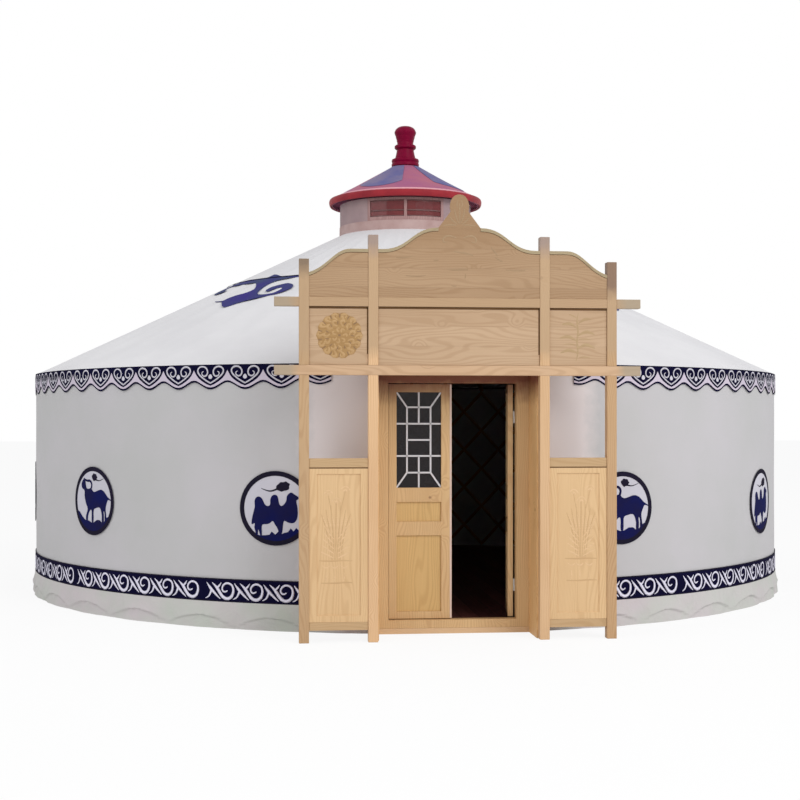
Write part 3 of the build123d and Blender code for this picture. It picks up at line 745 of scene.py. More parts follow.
goat_cloud = [(-14, 190), (-14, 206), (2, 210), (10, 226), (30, 216), (48, 220), (54, 202), (70, 192),
              (54, 180), (50, 164), (30, 167), (18, 156), (2, 170)]
goat_wisp = [(48, 172, 6), (80, 163, 4), (118, 170, 3), (154, 184, 1.5)]
herd = [(-21.6, 907, "camel"), (-51.6, 909, "goat"), (-83.2, 905, "camel"), (-114.8, 905, "goat"),
        (-146.4, 905, "camel"), (180, 905, "goat"), (148.4, 905, "goat"), (117.2, 905, "camel"),
        (86, 900, "goat"), (54.6, 868, "camel"), (22.3, 893, "goat")]
grounds, hoops, beasts = [], [], []
for bearing, height, kind in herd:
    if kind == "camel":
        beast, turf, sky, wisp, extra = camel, camel_turf, camel_cloud, camel_wisp, []
    else:
        beast, turf, sky, wisp, extra = goat, goat_turf, goat_cloud, goat_wisp, [strip("horn", goat_horn)]
    turf_top = min(turf[0][1], turf[-1][1])
    foot = [point for point in oval(TURF_WIDE, TURF_TALL, range(-146, -31, 9))
            if point[1] < turf_top - 4 or abs(point[0]) < 150]
    hoop = diced(joined("hoop", [cut_out("ring", [ring_edge, white_disc]),
                                 cut_out("cloud", [sky], smooth=True), strip("wisp", wisp)]))
    animal = diced(joined("animal", [cut_out("beast", [beast], smooth=True),
                                     cut_out("turf", [foot + turf])] + extra))
    disc = diced(cut_out("disc", [white_disc], 0.001))
    for piece, lift, group in ((hoop, 0.0034, hoops), (animal, 0.0037, beasts), (disc, 0.0020, grounds)):
        placed(piece, radians(bearing % 360) * EAVE_RADIUS, -lift, height / 1000)
        group.append(piece)
for name, group, finish in (("roundel_rings", hoops, dark_edge), ("roundel_beasts", beasts, beast_navy),
                            ("roundel_grounds", grounds, roundel_white)):
    group = joined(name, group)
    wrapped(group)
    fitted(group, finish)


# ---------------------------------------------------------------- horn scrolls on the roof
# Four large ram's-horn scrolls in blue cloth are sewn on the roof above the quarters, their heads
# on the ring line. The white of the canvas shows inside their curls.
SCROLL_RADIUS = 2.03
scroll_navy = cloth("scroll_navy_cloth", (0.035, 0.022, 0.20), (0.045, 0.065, 0.13), weave=700,
                    wrinkle=0.001, patch=2.2, sheen=0.0)
horn_scroll = [(-152, -174), (-30, -276), (71, -362), (120, -290), (163, -231), (276, -172), (383, -126),
               (440, -78), (482, -10), (474, 50), (443, 92), (354, 136), (296, 108), (226, 70), (208, 10),
               (236, -40), (284, -36), (298, 16), (350, 42), (386, 20), (380, -42), (358, -84), (322, -99),
               (252, -107), (176, -84), (136, 7), (104, 118), (138, 216), (241, 250), (354, 266),
               (640, 276), (640, 300), (354, 299), (103, 302), (18, 344), (-60, 372), (-126, 386),
               (-110, 322), (-181, 296), (-262, 303), (-400, 320), (-540, 326), (-660, 296), (-728, 226),
               (-742, 140), (-704, 62), (-630, 22), (-552, 32), (-520, 84), (-552, 128), (-604, 112),
               (-640, 132), (-648, 184), (-596, 216), (-510, 208), (-322, 212), (-220, 218), (-140, 196),
               (-64, 140), (22, 62), (30, 6), (-18, -48), (-89, -66)]
spur = [(-92, -186, 15), (-146, -190, 13), (-196, -190, 9), (-240, -176, 5)]
pattern = diced(joined("horn_scroll", [cut_out("horn", [horn_scroll], smooth=True),
                                       strip("spur", spur, 0.05)]), 0.03)
placed(pattern)
copies = []
for quarter, hand in ((-48, 1), (48, -1), (132, 1), (-132, -1)):
    copy = added("scroll", pattern.data.copy())
    for corner in copy.data.vertices:
        radius = SCROLL_RADIUS - corner.co.z
        turn = radians(quarter) + hand * corner.co.x / SCROLL_RADIUS
        height = roof_height(radius) + 0.001 - corner.co.y
        corner.co = (radius * sin(turn), -radius * cos(turn), height)
    if hand < 0:
        copy.data.flip_normals()
    copies.append(copy)
bpy.data.objects.remove(pattern)
fitted(joined("roof_horn_scrolls", copies), scroll_navy)


# ---------------------------------------------------------------- lantern
# A low drum of cloth on battens stands on the crown, with a two-light window on the door side and
# another at the back. Its foot is wrapped in pale cloth, and a thin dark cord round it is painted
# shadow at the foot of the drum; sills, posts and rails are stained wood.
LANTERN_FOOT, LANTERN_SILL, LANTERN_TOP = 3.328, 3.4366, 3.6506
LANTERN_TURN = -5.5
FOOT_RADIUS, DRUM_RADIUS = 0.6415, 0.6385
SHADOW_CORD_RADIUS, SHADOW_CORD_HEIGHT, SHADOW_CORD_THICK = 0.6465, 3.334, 0.003
foot = spun("lantern_foot_cloth", [(FOOT_RADIUS, LANTERN_FOOT), (FOOT_RADIUS + 0.001, 3.36),
                                   (FOOT_RADIUS, LANTERN_SILL)], 0, 360, 96)
laid_outward(foot)
thickened(foot, 0.0015, 1, 50)
fitted(foot, cloth("foot_cloth", (0.53, 0.38, 0.36), (0.44, 0.29, 0.27), patch=6, weave=1200))
# Painted shadow: a thin dark cord round the foot of the drum draws the shadow line there.
circle = [(SHADOW_CORD_RADIUS + SHADOW_CORD_THICK * cos(turn), SHADOW_CORD_HEIGHT + SHADOW_CORD_THICK * sin(turn))
          for turn in (pi * step / 4 for step in range(9))]
painted_shadow_cord = spun("lantern_foot_painted_shadow_cord", circle, 0, 360, 120)
bpy.ops.object.shade_smooth_by_angle(angle=radians(60))
fitted(painted_shadow_cord, cloth("foot_cord_painted_shadow", (0.13, 0.06, 0.08), (0.09, 0.04, 0.055), patch=9, weave=600))
dress(pole_wood, "lantern_base")

drum_cloth = cloth("drum_cloth", (0.41, 0.30, 0.30), (0.35, 0.25, 0.26), patch=5, weave=1200, wrinkle=0.003)
drum_height, drum_middle = LANTERN_TOP - LANTERN_SILL, (LANTERN_SILL + LANTERN_TOP) / 2
for side, hand in (("right", 1), ("left", -1)):
    start, end = sorted((LANTERN_TURN + hand * 34.05, LANTERN_TURN + hand * 145.95))
    drum = spun("lantern_cloth_" + side, [(DRUM_RADIUS, LANTERN_SILL + drum_height * step / 8)
                                          for step in range(9)], start, end, 80)
    for corner in drum.data.vertices:
        turn = polar(corner)[1]
        slack = max(0, 1 - abs(corner.co.z - drum_middle) / 0.107) ** 0.5
        crease = 1 - 0.0028 * slack * (1 + sin(turn * 23 + 1.5 * sin(turn * 5)))
        corner.co.x *= crease
        corner.co.y *= crease
    laid_outward(drum)
    thickened(drum, 0.006, -1, 50)
    fitted(drum, drum_cloth)
    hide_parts("lantern_wall_" + side)


def hard_surface(name, light, dark, grain, detail, rough, fine=None, **settings):
    """Glass, paint or metal: one tone or two, a roughness or its range, and a relief (strength, depth)."""
    material, tree, output = empty_material(name)
    worn = noise(tree, shader(tree, "TexCoord").outputs["Object"], grain, detail)
    inputs = {"Base Color": mixed(tree, worn, (*light, 1), (*dark, 1)) if dark else (*light, 1),
              "Roughness": mapped(tree, worn, 0.0, 1.0, *rough) if isinstance(rough, tuple) else rough}
    if fine:
        inputs["Normal"] = relief(tree, worn, *fine)
    surfaced(tree, output, {**inputs, **settings})
    return material


dress(wood("lantern_post_wood", (0.42, 0.25, 0.235), (0.26, 0.13, 0.125), "Z", gloss=0.45),
      "lantern_window_front", "lantern_window_back", bevel=0.0015)
# Painted reflection: the panes' maroon-brown tone stands for what they reflect.
dress(hard_surface("lantern_glass", (0.34, 0.07, 0.07), (0.17, 0.035, 0.04), 9.0, 3.0, 0.12,
                   **{"Transmission Weight": 0.35, "IOR": 1.3}), "lantern_glass_front", "lantern_glass_back")
RAIL_BACK, RAIL_FRONT = 0.628, 0.6365
rails = []
for middle in (LANTERN_TURN, LANTERN_TURN + 180):
    for height, deep in ((3.5285, 0.011), (3.4760, 0.008), (3.6200, 0.008)):
        low, high = height - deep / 2, height + deep / 2
        section = [(RAIL_BACK, low), (RAIL_FRONT, low), (RAIL_FRONT, high), (RAIL_BACK, high)]
        section.append(section[0])
        for start, end in ((-31.5, -1.3), (1.3, 31.5)):
            rail = spun("rail", section, middle + start, middle + end, 12)
            with editing(rail):
                bpy.ops.mesh.select_all(action="DESELECT")
                bpy.ops.mesh.select_non_manifold()
                bpy.ops.mesh.fill()
                bpy.ops.mesh.select_all(action="SELECT")
                bpy.ops.mesh.normals_make_consistent(inside=False)
            rails.append(rail)
fitted(joined("lantern_rails", rails),
       wood("lantern_rail_wood", (0.16, 0.055, 0.05), (0.07, 0.025, 0.025), "X", gloss=0.4))


# ---------------------------------------------------------------- cap and rolled rim
# The cap is red and blue cloth stretched over eight battens and drawn in under the knob. Its foot
# is bound by a stuffed crimson roll with a light red band above it.
CAP_FOOT, CAP_EDGE = 3.6509, 0.7145
CAP_LINE = [(0.715, 3.6909), (0.668, 3.7369), (0.590, 3.7849), (0.130, 4.0409)]
CAP_SAG = 0.010
cap_cloth = cloth("cap_cloth", (0.434, 0.126, 0.188), (0.364, 0.10, 0.216), patch=4, weave=1200,
                  wrinkle=0.003)
patch_cloth = cloth("cap_patch_cloth", (0.09, 0.097, 0.29), (0.23, 0.18, 0.28), patch=3.4, weave=1200,
                    wrinkle=0.003)
band_cloth = cloth("cap_band_cloth", (0.76, 0.39, 0.44), (0.68, 0.32, 0.38), patch=5, weave=1200,
                   wrinkle=0.001)


def cap_height(radius):
    """Height of the cloth of the cap at a radius."""
    for (wide, low), (narrow, high) in zip(CAP_LINE, CAP_LINE[1:]):
        if radius >= narrow:
            return low + (wide - radius) / (wide - narrow) * (high - low)
    return CAP_LINE[-1][1]


def sagging(piece):
    """Lets the cloth of the cap sink between its eight battens."""
    narrow, wide = CAP_LINE[-1][0], CAP_LINE[0][0]
    for corner in piece.data.vertices:
        radius, turn = polar(corner)
        reach = min(max((radius - narrow) / (wide - narrow), 0), 1)
        corner.co.z -= CAP_SAG * abs(sin(turn * 4)) ** 1.5 * sin(pi * reach)


cap_radii = [CAP_EDGE, 0.7138, 0.708, 0.698, 0.685, 0.668, 0.650, 0.630, 0.610, 0.590, 0.55, 0.50, 0.45, 0.40,
             0.35, 0.30, 0.25, 0.20, 0.16, 0.132]
cap_line = [(radius, cap_height(radius) - 0.002) for radius in cap_radii]
cap = spun("lantern_cap_cloth", [(CAP_EDGE, CAP_FOOT), (0.7149, 3.670)] + cap_line, 0, 360, 128)
sagging(cap)
laid_upward(cap)
thickened(cap, 0.006, -1, 50)
fitted(cap, cap_cloth)
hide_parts("lantern_cap")

PATCH_FOOT, PATCH_LONG, PATCH_HALF = 0.62, 0.475, 27
patches = []
for quarter in range(4):
    middle = 54 + 90 * quarter
    panel = spun("panel", [(PATCH_FOOT - PATCH_LONG * step / 18, 0) for step in range(19)],
                 middle - PATCH_HALF, middle + PATCH_HALF, 30)
    for corner in panel.data.vertices:
        radius, bearing = polar(corner)
        turn = (math.degrees(bearing) - middle + 180) % 360 - 180
        share = (radius - PATCH_FOOT + PATCH_LONG) / PATCH_LONG
        waist = 1 - 0.19 * share * (turn / PATCH_HALF) ** 2
        corner.co.x *= waist
        corner.co.y *= waist
        corner.co.z = cap_height(radius * waist)
    sagging(panel)
    patches.append(panel)
patches = joined("lantern_cap_patches", patches)
laid_upward(patches)
thickened(patches, 0.0025, 1, 50)
fitted(patches, patch_cloth)
BAND_PROUD = 0.0012
band_line = [(radius + BAND_PROUD, cap_height(radius) + BAND_PROUD)
             for radius in (0.7125, 0.704, 0.694, 0.683, 0.674)]
cap_band = spun("lantern_cap_band", band_line, 0, 360, 128)
laid_upward(cap_band)
thickened(cap_band, 0.0015, 1, 50)
fitted(cap_band, band_cloth)

RIM_RADIUS, RIM_HEIGHT, RIM_WIDE, RIM_TALL = 0.7303, 3.6775, 0.015, 0.033
section = [(RIM_RADIUS + RIM_WIDE * cos(turn) * (1 + 0.15 * sin(turn)), RIM_HEIGHT + RIM_TALL * sin(turn))
           for turn in (2 * pi * step / 20 for step in range(21))]
rim = spun("lantern_cap_roll", section, 0, 360, 160)
for corner in rim.data.vertices:
    corner.co.z += 0.0006 * sin(polar(corner)[1] * 64)
apply_modifier(rim, "WELD", merge_threshold=0.0001)
bpy.ops.object.shade_smooth_by_angle(angle=radians(60))
fitted(rim, cloth("rim_cloth", (0.35, 0.024, 0.034), (0.25, 0.016, 0.026), patch=7, weave=1000, rough=0.6,
                  wrinkle=0.004))
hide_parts("lantern_cap_rim")


# ---------------------------------------------------------------- finial
# A turned wooden knob in crimson lacquer: a grooved foot, a tapered body, a collar, a flared neck
# with shallow rings, and a dome cut with short flutes.
KNOB_FOOT, FLUTES_FROM, FLUTE_DEEP = 4.0412, 0.34, 0.022
turning = [(0, 0), (0.124, 0), (0.133, 0.006), (0.135, 0.022), (0.130, 0.036), (0.127, 0.040),
           (0.131, 0.045), (0.134, 0.058), (0.130, 0.072), (0.112, 0.079), (0.100, 0.082), (0.0965, 0.096),
           (0.0885, 0.130), (0.0830, 0.160), (0.0830, 0.169), (0.0950, 0.173), (0.1040, 0.182),
           (0.1055, 0.194), (0.1040, 0.204), (0.0960, 0.211), (0.0810, 0.215), (0.0785, 0.225),
           (0.0790, 0.240), (0.0840, 0.254), (0.0825, 0.258), (0.0880, 0.275), (0.0930, 0.290),
           (0.0915, 0.294), (0.0985, 0.312), (0.1050, 0.328), (0.1060, 0.340), (0.1010, 0.354),
           (0.0930, 0.368), (0.0780, 0.382), (0.0580, 0.392), (0.0350, 0.397), (0.0120, 0.3995),
           (0, 0.3998)]
knob = spun("finial_knob", [(radius, KNOB_FOOT + height) for radius, height in turning], 0, 360, 96)
for corner in knob.data.vertices:
    radius, turn = polar(corner)
    if corner.co.z - KNOB_FOOT > FLUTES_FROM and radius > 0.03:
        flute = 1 - FLUTE_DEEP * abs(sin(8 * turn))
        corner.co.x *= flute
        corner.co.y *= flute
select_only(knob)
bpy.ops.object.shade_smooth_by_angle(angle=radians(28))
fitted(knob, hard_surface("crimson_lacquer", (0.245, 0.001, 0.035), (0.13, 0.0005, 0.018), 26.0, 5.0, 0.42,
                          (0.2, 0.001), **{"Specular IOR Level": 0.08}))
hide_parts("finial")


# ---------------------------------------------------------------- door frame, leaves and their glass
# Knotty pine, planed and left pale; painted shade turns it dark and reddish towards the head under the
# frieze, and the reveal boards are painted lighter, as painted light in the porch's shade. Each leaf holds
# two sunk panels below a tall light, and the light has a lattice of thin painted bars on its outer face.
# Painted shade: the door, its frame and the reveal boards darken towards their heads, under the frieze.
PAINTED_HEAD_SHADE = "Z", 1.66, 1.85, (0.147, 0.028, 0.008), 0.95
# Painted light: the reveal boards' pine is set lighter than the door's, for the shade of the porch on them.
pine_reveal_painted_light = wood("pine_reveal_painted_light", (0.80, 0.52, 0.25), (0.60, 0.35, 0.14), "Z", knots=1.0)
pine_door = wood("pine_door", (0.68, 0.46, 0.228), (0.51, 0.30, 0.135), "Z", knots=1.1, offset=0.37)
pine_sunk = wood("pine_sunk_panels", (0.66, 0.43, 0.175), (0.50, 0.30, 0.105), "Z", offset=0.83)
dress(weather_and_painted_light(pine_door, *PAINTED_HEAD_SHADE), "door_frame", "left_leaf_frame", "right_leaf_frame", bevel=0.002)
dress(pine_sunk, "left_leaf_panels", "right_leaf_panels")
dress(weather_and_painted_light(pine_reveal_painted_light, *PAINTED_HEAD_SHADE), "reveal_board_left", "reveal_board_right", bevel=0.002)
dress(hard_surface("door_glass", (0.12, 0.10, 0.11), None, 5.0, 4.0, (0.02, 0.10),
                   **{"Transmission Weight": 0.9, "IOR": 1.3}), "left_leaf_glass", "right_leaf_glass")
dress(hard_surface("hinge_steel", (0.52, 0.51, 0.50), None, 160.0, 3.0, (0.28, 0.5), (0.15, 0.0004),
                   Metallic=1.0), "jamb_hinges", "left_leaf_hinges", "right_leaf_hinges")


def batten(name, start, end, front, width=0.0125, depth=0.007, ease=0.0012):
    """A straight bar between two (x, z) points, its face at a depth in front."""
    (x0, z0), (x1, z1) = start, end
    bpy.ops.mesh.primitive_cube_add(size=1)
    bar = bpy.context.object
    bar.name = name
    bar.scale = (math.hypot(x1 - x0, z1 - z0), depth, width)
    bar.rotation_euler = (0, -math.atan2(z1 - z0, x1 - x0), 0)
    bar.location = ((x0 + x1) / 2, front + depth / 2, (z0 + z1) / 2)
    select_only(bar)
    bpy.ops.object.transform_apply(location=True, rotation=True, scale=True)
    with editing(bar):
        bpy.ops.mesh.bevel(offset=ease, segments=2, affect="EDGES")
    return bar


low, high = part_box("left_leaf_glass")


def pane_point(across, up):
    """A point of the left leaf's light, from shares of its width and height."""
    return (low.x + (high.x - low.x) * across, low.z + (high.z - low.z) * up)


lattice_lines = [((0, 0.67), (1, 0.67)), ((0, 0.332), (1, 0.332)), ((0.235, 0.157), (0.235, 0.843)),
                 ((0.765, 0.157), (0.765, 0.843)), ((0.235, 0.843), (0.765, 0.843)), ((0.235, 0.50),
                 (0.765, 0.50)), ((0.235, 0.157), (0.765, 0.157)), ((0.5, 0.67), (0.5, 1)), ((0.5, 0),
                 (0.5, 0.332)), ((0, 0), (0.235, 0.157)), ((1, 0), (0.765, 0.157)), ((0, 1),
                 (0.235, 0.843)), ((1, 1), (0.765, 0.843))]
lattice = joined("left_leaf_lattice", [batten("bar", pane_point(*start), pane_point(*end), low.y - 0.0072)
                                       for start, end in lattice_lines])
leaf_low, leaf_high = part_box("left_leaf_frame")
bead_x = leaf_high.x - 0.008
bead = batten("left_leaf_bead", (bead_x, leaf_low.z + 0.003), (bead_x, leaf_high.z - 0.003),
              leaf_low.y - 0.0012, 0.013, 0.0020, 0.0005)
fitted(bead, wood("bead_pine", (0.70, 0.56, 0.49), (0.58, 0.44, 0.38), "Z", offset=0.91),
       "left_leaf")
right_lattice = added("right_leaf_lattice", lattice.data.copy())
hinge = [joint for joint in frame["joints"] if joint["name"] == "right_leaf_hinge"][0]["pos_m"]
OPEN_AT_REST = radians(98)
for corner in right_lattice.data.vertices:
    x, y = -corner.co.x - hinge[0], corner.co.y - hinge[1]
    corner.co.x = hinge[0] + x * cos(OPEN_AT_REST) + y * sin(OPEN_AT_REST)
    corner.co.y = hinge[1] - x * sin(OPEN_AT_REST) + y * cos(OPEN_AT_REST)
right_lattice.data.flip_normals()
bar_paint = hard_surface("bar_paint", (0.70, 0.69, 0.72), (0.54, 0.53, 0.56), 90.0, 3.0, 0.45, (0.2, 0.0003))
fitted(lattice, bar_paint, "left_leaf")
fitted(right_lattice, bar_paint, "right_leaf")


# ---------------------------------------------------------------- portal
# Four posts and two through beams of planed pine carry a frieze and a shaped pediment of level
# boards. Boarded bays fill the sides to breast height. All is nailed, left unpainted and greyed
# or browned by the weather where it stands out in the rain.
AGED = "Z", 1.97, 2.07, (0.45, 0.30, 0.17)
GREYED, BROWNED, REDDENED = (0.30, 0.225, 0.20), (0.17, 0.12, 0.08), (0.18, 0.105, 0.07)
for name, pale, dark, offset, head, head_tone in (
        ("inner_post_left", (0.76, 0.50, 0.28), (0.58, 0.34, 0.165), 0.0, 2.69, GREYED),
        ("inner_post_right", (0.69, 0.455, 0.255), (0.53, 0.31, 0.15), 0.23, 2.69, GREYED),
        ("outer_post_left", (0.53, 0.35, 0.19), (0.41, 0.24, 0.115), 0.11, 2.54, BROWNED),
        ("outer_post_right", (0.56, 0.36, 0.19), (0.42, 0.24, 0.11), 0.71, 2.40, REDDENED)):
    post = weather_and_painted_light(wood(name + "_pine", pale, dark, "Z", knots=1.0, offset=offset), *AGED)
    dress(weather_and_painted_light(post, "Z", head, head + 0.12, head_tone), name, bevel=0.003)
pine_level = wood("pine_level", (0.62, 0.41, 0.245), (0.47, 0.29, 0.16), "X", knots=0.7, offset=0.53)
weather_and_painted_light(pine_level, "Z", 2.15, 2.25, (0.42, 0.27, 0.145))
dress(weather_and_painted_light(pine_level, "X", 1.12, 1.20, (0.36, 0.29, 0.205)), "portal_beams", bevel=0.003)
pine_bay_rail = wood("pine_bay_rail", (0.54, 0.36, 0.19), (0.44, 0.275, 0.13), "X", knots=0.6, offset=0.47)
dress(pine_bay_rail, "bay_rails_left", "bay_rails_right", bevel=0.003)
LEVEL_BOARDS = "Z", 0.137, 1.9423
pine_frieze = wood("pine_frieze", (0.56, 0.385, 0.24), (0.43, 0.275, 0.155), "X", LEVEL_BOARDS, knots=0.5,
                   offset=0.19, joint=0.1)
dress(pine_frieze, "frieze_panels", bevel=0.003)
pine_pediment = wood("pine_pediment", (0.44, 0.285, 0.16), (0.335, 0.20, 0.10), "X", LEVEL_BOARDS, knots=0.5,
                     offset=0.49, joint=0.15)
weather_and_painted_light(pine_pediment, "Z", 2.72, 2.90, (0.31, 0.18, 0.085))
dress(pine_pediment, "pediment_sides", "pediment_centre", "pediment_crest", bevel=0.003)
pine_bay = wood("pine_bay", (0.72, 0.49, 0.26), (0.59, 0.37, 0.18), "Z", offset=0.61)
dress(pine_bay, "bay_panel_left", "bay_panel_right", bevel=0.002)


# ---------------------------------------------------------------- edge of the pediment and painted shadow strips
# A pale strip is planed along the top of the shaped boards, with a thin dark strip under it that is
# painted shadow of its edge. The pale strip is bent to the ogees from thin lath and pinned, and it ends
# against the posts. Straight dark strips of the same kind are painted shadow under the upper beam, beside
# the inner posts and along the top of the bays.
def curve_points(foot, first, second, head, steps=14):
    """Points along an ogee between two heights."""
    points = []
    for step in range(steps + 1):
        share = step / steps
        weights = ((1 - share) ** 3, 3 * share * (1 - share) ** 2, 3 * share ** 2 * (1 - share), share ** 3)
        pulls = list(zip(weights, (foot, first, second, head)))
        points.append(tuple(sum(weight * point[axis] for weight, point in pulls) for axis in (0, 1)))
    return points


def edge_strip(name, line, width, deep, face):
    """A strip that hangs down by its width from a line of (x, z) points, its face at a depth."""
    mesh = bpy.data.meshes.new(name)
    corners = [(x, face, z) for x, z in line] + [(x, face, z - width) for x, z in line]
    count = len(line)
    faces = [(step, count + step, count + step + 1, step + 1) for step in range(count - 1)]
    mesh.from_pydata(corners, [], faces)
    piece = added(name, mesh)
    if mesh.polygons[0].normal.y > 0:
        mesh.flip_normals()
    apply_modifier(piece, "SOLIDIFY", thickness=deep, offset=1)
    return piece


EDGING_WIDE = 0.023
INNER_POST, OUTER_POST, OGEE_FOOT, CENTRE_SIDE = 0.6453, 1.0597, 2.5910, 0.5747
side_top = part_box("pediment_sides")[1].z
crest_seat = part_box("pediment_centre")[1].z
board_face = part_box("pediment_centre")[0].y
side_line = curve_points((OUTER_POST, OGEE_FOOT), (0.9292, 2.6316), (0.8799, side_top), (0.7697, side_top))
side_line.append((INNER_POST, side_top))
brow_line = [(CENTRE_SIDE, side_top)] + curve_points((0.5450, side_top), (0.3554, side_top),
                                                     (0.3396, crest_seat), (0.1500, crest_seat))
edging, painted_shadow_strips = [], []
for line in (side_line, brow_line):
    for hand in (-1, 1):
        side = [(hand * x, z) for x, z in line]
        side = side if hand < 0 else list(reversed(side))
        edging.append(edge_strip("edging", side, EDGING_WIDE, 0.0045, board_face))
        # Painted shadow: a thin dark strip under the pale edging.
        under = [(x, z - EDGING_WIDE) for x, z in side]
        painted_shadow_strips.append(edge_strip("painted_shadow_piece", under, 0.003, 0.0008, board_face))
frieze_face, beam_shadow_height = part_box("frieze_panels")[0].y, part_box("frieze_panels")[1].z - 0.008
bay_face, rail_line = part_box("bay_panel_left")[0].y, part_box("bay_panel_left")[1].z - 0.004
# Painted shadow: thin dark strips under the upper beam, beside the inner posts and under the bay rails.
for x0, z0, x1, z1, face, width in ((-OUTER_POST, beam_shadow_height, -INNER_POST, beam_shadow_height, frieze_face, 0.016),
                                    (-CENTRE_SIDE, beam_shadow_height, CENTRE_SIDE, beam_shadow_height, frieze_face, 0.016),
                                    (INNER_POST, beam_shadow_height, OUTER_POST, beam_shadow_height, frieze_face, 0.016),
                                    (-0.6503, 2.02, -0.6503, 2.345, frieze_face, 0.010),
                                    (0.5697, 2.02, 0.5697, 2.345, frieze_face, 0.010),
                                    (-1.058, rail_line, -0.647, rail_line, bay_face, 0.008),
                                    (0.647, rail_line, 1.058, rail_line, bay_face, 0.008)):
    painted_shadow_strips.append(batten("painted_shadow_piece", (x0, z0), (x1, z1), face - 0.0008, width, 0.0010, 0.0002))
fitted(joined("pediment_edging", edging),
       wood("weathered_edging", (0.40, 0.315, 0.185), (0.30, 0.225, 0.125), "X", offset=0.77))
fitted(joined("portal_painted_shadows", painted_shadow_strips),
       wood("painted_groove_shadow", (0.135, 0.062, 0.016), (0.085, 0.038, 0.010), "X", gloss=0.8))


# ---------------------------------------------------------------- carving
# Low relief cut in the same pine: a round of curled petals in the left frieze panel, a vine in the
# right one, lotus and reeds in the lower bays, and a few long scrolls on the pediment and crest.
def turned_about(points, angle):
    """A strip's points turned about the origin."""
    return [(x * cos(angle) - z * sin(angle), x * sin(angle) + z * cos(angle), half) for x, z, half in points]


def ring_of(points, count, first=0.0, sway=0.0, beat=0):
    """Copies of a strip set round the origin, a little unevenly."""
    return [turned_about(points, 2 * pi * (turn + first) / count + sway * sin(turn * beat))
            for turn in range(count)]


def carving(name, strips, x, z, face, flatness=0.3):
    """Relief made of tapering strips, in millimetres from (x, z), on a face at a depth."""
    piece = joined(name, [strip("cut", points, flatness) for points in strips])
    placed(piece, x, face, z)
    select_only(piece)
    bpy.ops.object.shade_smooth_by_angle(angle=radians(35))
    return piece


petal = [(108, -14, 4), (132, 10, 9), (150, 6, 10), (154, -14, 8), (138, -24, 5), (128, -14, 3)]
mid_petal = [(66, -16, 4), (86, 8, 8), (106, 2, 9), (108, -20, 6), (94, -24, 3)]
heart_petal = [(22, 0, 3), (40, 14, 8), (56, 4, 6), (48, -10, 3)]
hollow = [(120, 26, 2), (136, 32, 7), (150, 30, 3)]
mid_hollow = [(74, 22, 2), (88, 26, 6), (100, 24, 2)]
ROSETTE_X, ROSETTE_HEIGHT, ROSETTE_RADIUS, PETALS = -0.847, 2.150, 158, 14
petals = (ring_of(petal, PETALS, 0, 0.05, 5) + ring_of(mid_petal, 11, 0.5, 0.07, 3) +
          ring_of(heart_petal, 7, 0, 0.1, 2))
# Painted shade: thin dark strips between the petals and at the heart stand for the shade in the carving's
# hollows.
painted_hollow_shades = ring_of(hollow, PETALS) + ring_of(mid_hollow, 11, 0.5) + [[(-9, 0, 6), (0, 2, 9), (9, 0, 6)]]
pale_cuts = [carving("petals", petals, ROSETTE_X, ROSETTE_HEIGHT, frieze_face - 0.001)]
hollow_shade_cuts = [carving("painted_hollow_shades", painted_hollow_shades, ROSETTE_X, ROSETTE_HEIGHT, frieze_face - 0.001, 0.15)]
vine = [[(-10, -172, 3), (8, -120, 6), (-6, -40, 6), (8, 40, 6), (-8, 112, 5), (6, 168, 2)], [(0, -120, 2),
        (-32, -102, 9), (-72, -94, 13), (-122, -118, 3)], [(2, -88, 2), (36, -62, 10), (80, -58, 13),
        (126, -84, 3)], [(-4, -36, 2), (-38, -10, 10), (-82, 2, 13), (-130, -14, 3)], [(4, 4, 2),
        (38, 28, 10), (82, 36, 13), (124, 14, 3)], [(0, 56, 2), (-34, 84, 9), (-72, 96, 12), (-112, 84, 3)],
        [(0, 88, 2), (32, 112, 8), (64, 128, 11), (100, 124, 3)], [(-10, -60, 2), (-50, -50, 5),
        (-96, -56, 2)], [(10, -20, 2), (52, -12, 5), (98, -24, 2)], [(-6, 130, 2), (-30, 150, 6),
        (-62, 156, 2)], [(12, -150, 2), (52, -142, 7), (92, -152, 2)]]
vine_cuts = [carving("vine", vine, -ROSETTE_X, 2.153, frieze_face - 0.0004, 0.12)]
disc_edge = []
for step in range(48):
    turn = 2 * pi * step / 48
    radius = ROSETTE_RADIUS * (1 + 0.035 * cos(PETALS * turn))
    disc_edge.append((radius * cos(turn), radius * sin(turn)))
rosette_ground = cut_out("rosette_ground", [disc_edge], 0.0016)
placed(rosette_ground, ROSETTE_X, frieze_face - 0.0002, ROSETTE_HEIGHT)

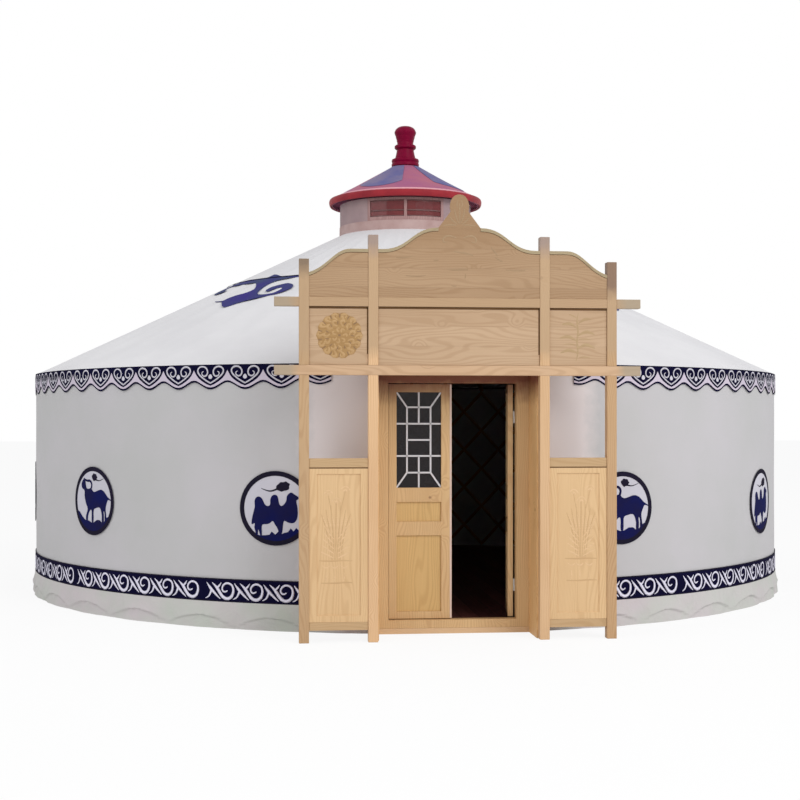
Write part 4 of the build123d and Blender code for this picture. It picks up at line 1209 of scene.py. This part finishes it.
BAY_MIDDLE, PLANT_FOOT = 0.8725, 0.74
field_face = bay_face + 0.007
bay_pale, bay_dark = [], []
for side in (-1, 1):
    leaves, stems = [], []
    for stalk in range(7):
        lean = (stalk - 3) * 30
        stems.append([(lean * 0.35, -160, 2), (lean * 0.5, -40, 4), (lean * 0.95, 120, 4),
                      (lean * 1.15, 250 - abs(lean), 2)])
        leaves.append([(lean * 0.5 + 10, 20, 2), (lean * 0.9 + 20, 76, 7), (lean * 1.1 + 8, 140, 2)])
    for tier in range(5):
        sprig = [(14, -150 + 34 * tier, 3), (52, -128 + 38 * tier, 8), (104 - 6 * tier, -104 + 46 * tier, 3)]
        leaves += [sprig, mirrored(sprig)]
    for x, z in ((-52, 290), (66, 318), (4, 236)):
        leaves += [[(x - 34, z + 6, 2), (x - 22, z + 30, 8), (x, z + 36, 3)],
                   [(x + 34, z + 6, 2), (x + 22, z + 30, 8), (x, z + 36, 3)],
                   [(x - 12, z, 4), (x, z + 26, 8), (x + 12, z, 4)]]
        stems.append([(x, z, 3), (x * 0.8, z - 60, 3), (x * 0.5, z - 140, 2)])
    stems.append([(-116, -166, 3), (-30, -170, 6), (40, -164, 5), (116, -168, 3)])
    for x in (-70, -10, 58):
        leaves += [[(x - 26, -196, 2), (x, -236, 8), (x + 26, -200, 3)],
                   [(x, -250, 2), (x + 8, -290, 6), (x - 6, -318, 2)]]
    stems.append([(-104, -322, 3), (-20, -326, 5), (60, -318, 6), (116, -322, 3)])
    plant_place = side * BAY_MIDDLE, PLANT_FOOT, field_face - 0.0002
    bay_pale.append(carving("leaves", leaves, *plant_place, 0.22))
    bay_dark.append(carving("stems", stems, *plant_place, 0.14))
long_scrolls = [[(-93, -130, 2), (-30, -136, 6), (30, -128, 7), (61, -132, 3)], [(-185, -66, 2),
                (-168, -70, 6), (-149, -66, 2)], [(-42, -4, 3), (20, -12, 7), (70, -22, 7), (97, -30, 3)],
                [(225, 30, 3), (240, 8, 7), (262, -18, 7), (270, -34, 3)], [(251, -40, 3), (284, -64, 7),
                (308, -72, 3)], [(41, -160, 3), (44, -178, 5), (38, -194, 2)], [(-60, -244, 2),
                (-42, -250, 6), (-20, -246, 2)], [(330, -130, 2), (400, -140, 6), (470, -132, 3)],
                [(-330, -40, 2), (-390, -56, 6), (-450, -50, 3)], [(-240, -176, 2), (-300, -186, 6),
                (-380, -178, 3)]]
pediment_cuts = [carving("long_scrolls", long_scrolls, 0, 2.750, board_face - 0.0002, 0.12)]
brow = [(24, 40, 3), (64, 60, 7), (110, 50, 7), (122, 20, 6), (100, 4, 4), (84, 18, 2)]
pediment_cuts.append(carving("brow", [brow, mirrored(brow)], 0, 2.800, board_face - 0.0002, 0.3))
plume = [[(0, -86, 3), (0, -20, 8), (0, 62, 3)]]
for leaf in ([(8, -80, 3), (30, -34, 8), (36, 22, 3)], [(16, -88, 3), (56, -62, 8), (70, -34, 3)],
             [(24, -94, 3), (74, -88, 7), (112, -98, 3)], [(14, 30, 2), (26, 56, 6), (10, 88, 2)]):
    plume += [leaf, mirrored(leaf)]
pediment_cuts.append(carving("plume", plume, 0, 3.025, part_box("pediment_crest")[0].y - 0.0002, 0.3))
for name, parts, pale, dark in (
        ("portal_carving", pale_cuts, (0.50, 0.31, 0.135), (0.39, 0.225, 0.085)),
        # Painted shade in the hollows of the rosette:
        ("portal_carving_painted_hollow_shade", hollow_shade_cuts, (0.27, 0.155, 0.07), (0.20, 0.11, 0.045)),
        ("rosette_ground", [rosette_ground], (0.40, 0.235, 0.085), (0.31, 0.165, 0.05)),
        ("frieze_vine", vine_cuts, (0.45, 0.31, 0.16), (0.38, 0.245, 0.12)),
        ("pediment_carving", pediment_cuts, (0.36, 0.235, 0.125), (0.29, 0.18, 0.09)),
        ("bay_leaves", bay_pale, (0.74, 0.50, 0.28), (0.63, 0.41, 0.21)),
        ("bay_stems", bay_dark, (0.60, 0.38, 0.19), (0.52, 0.32, 0.15))):
    fitted(joined(name, parts), wood(name.replace("_", "_pine_", 1), pale, dark, "X", offset=0.27))
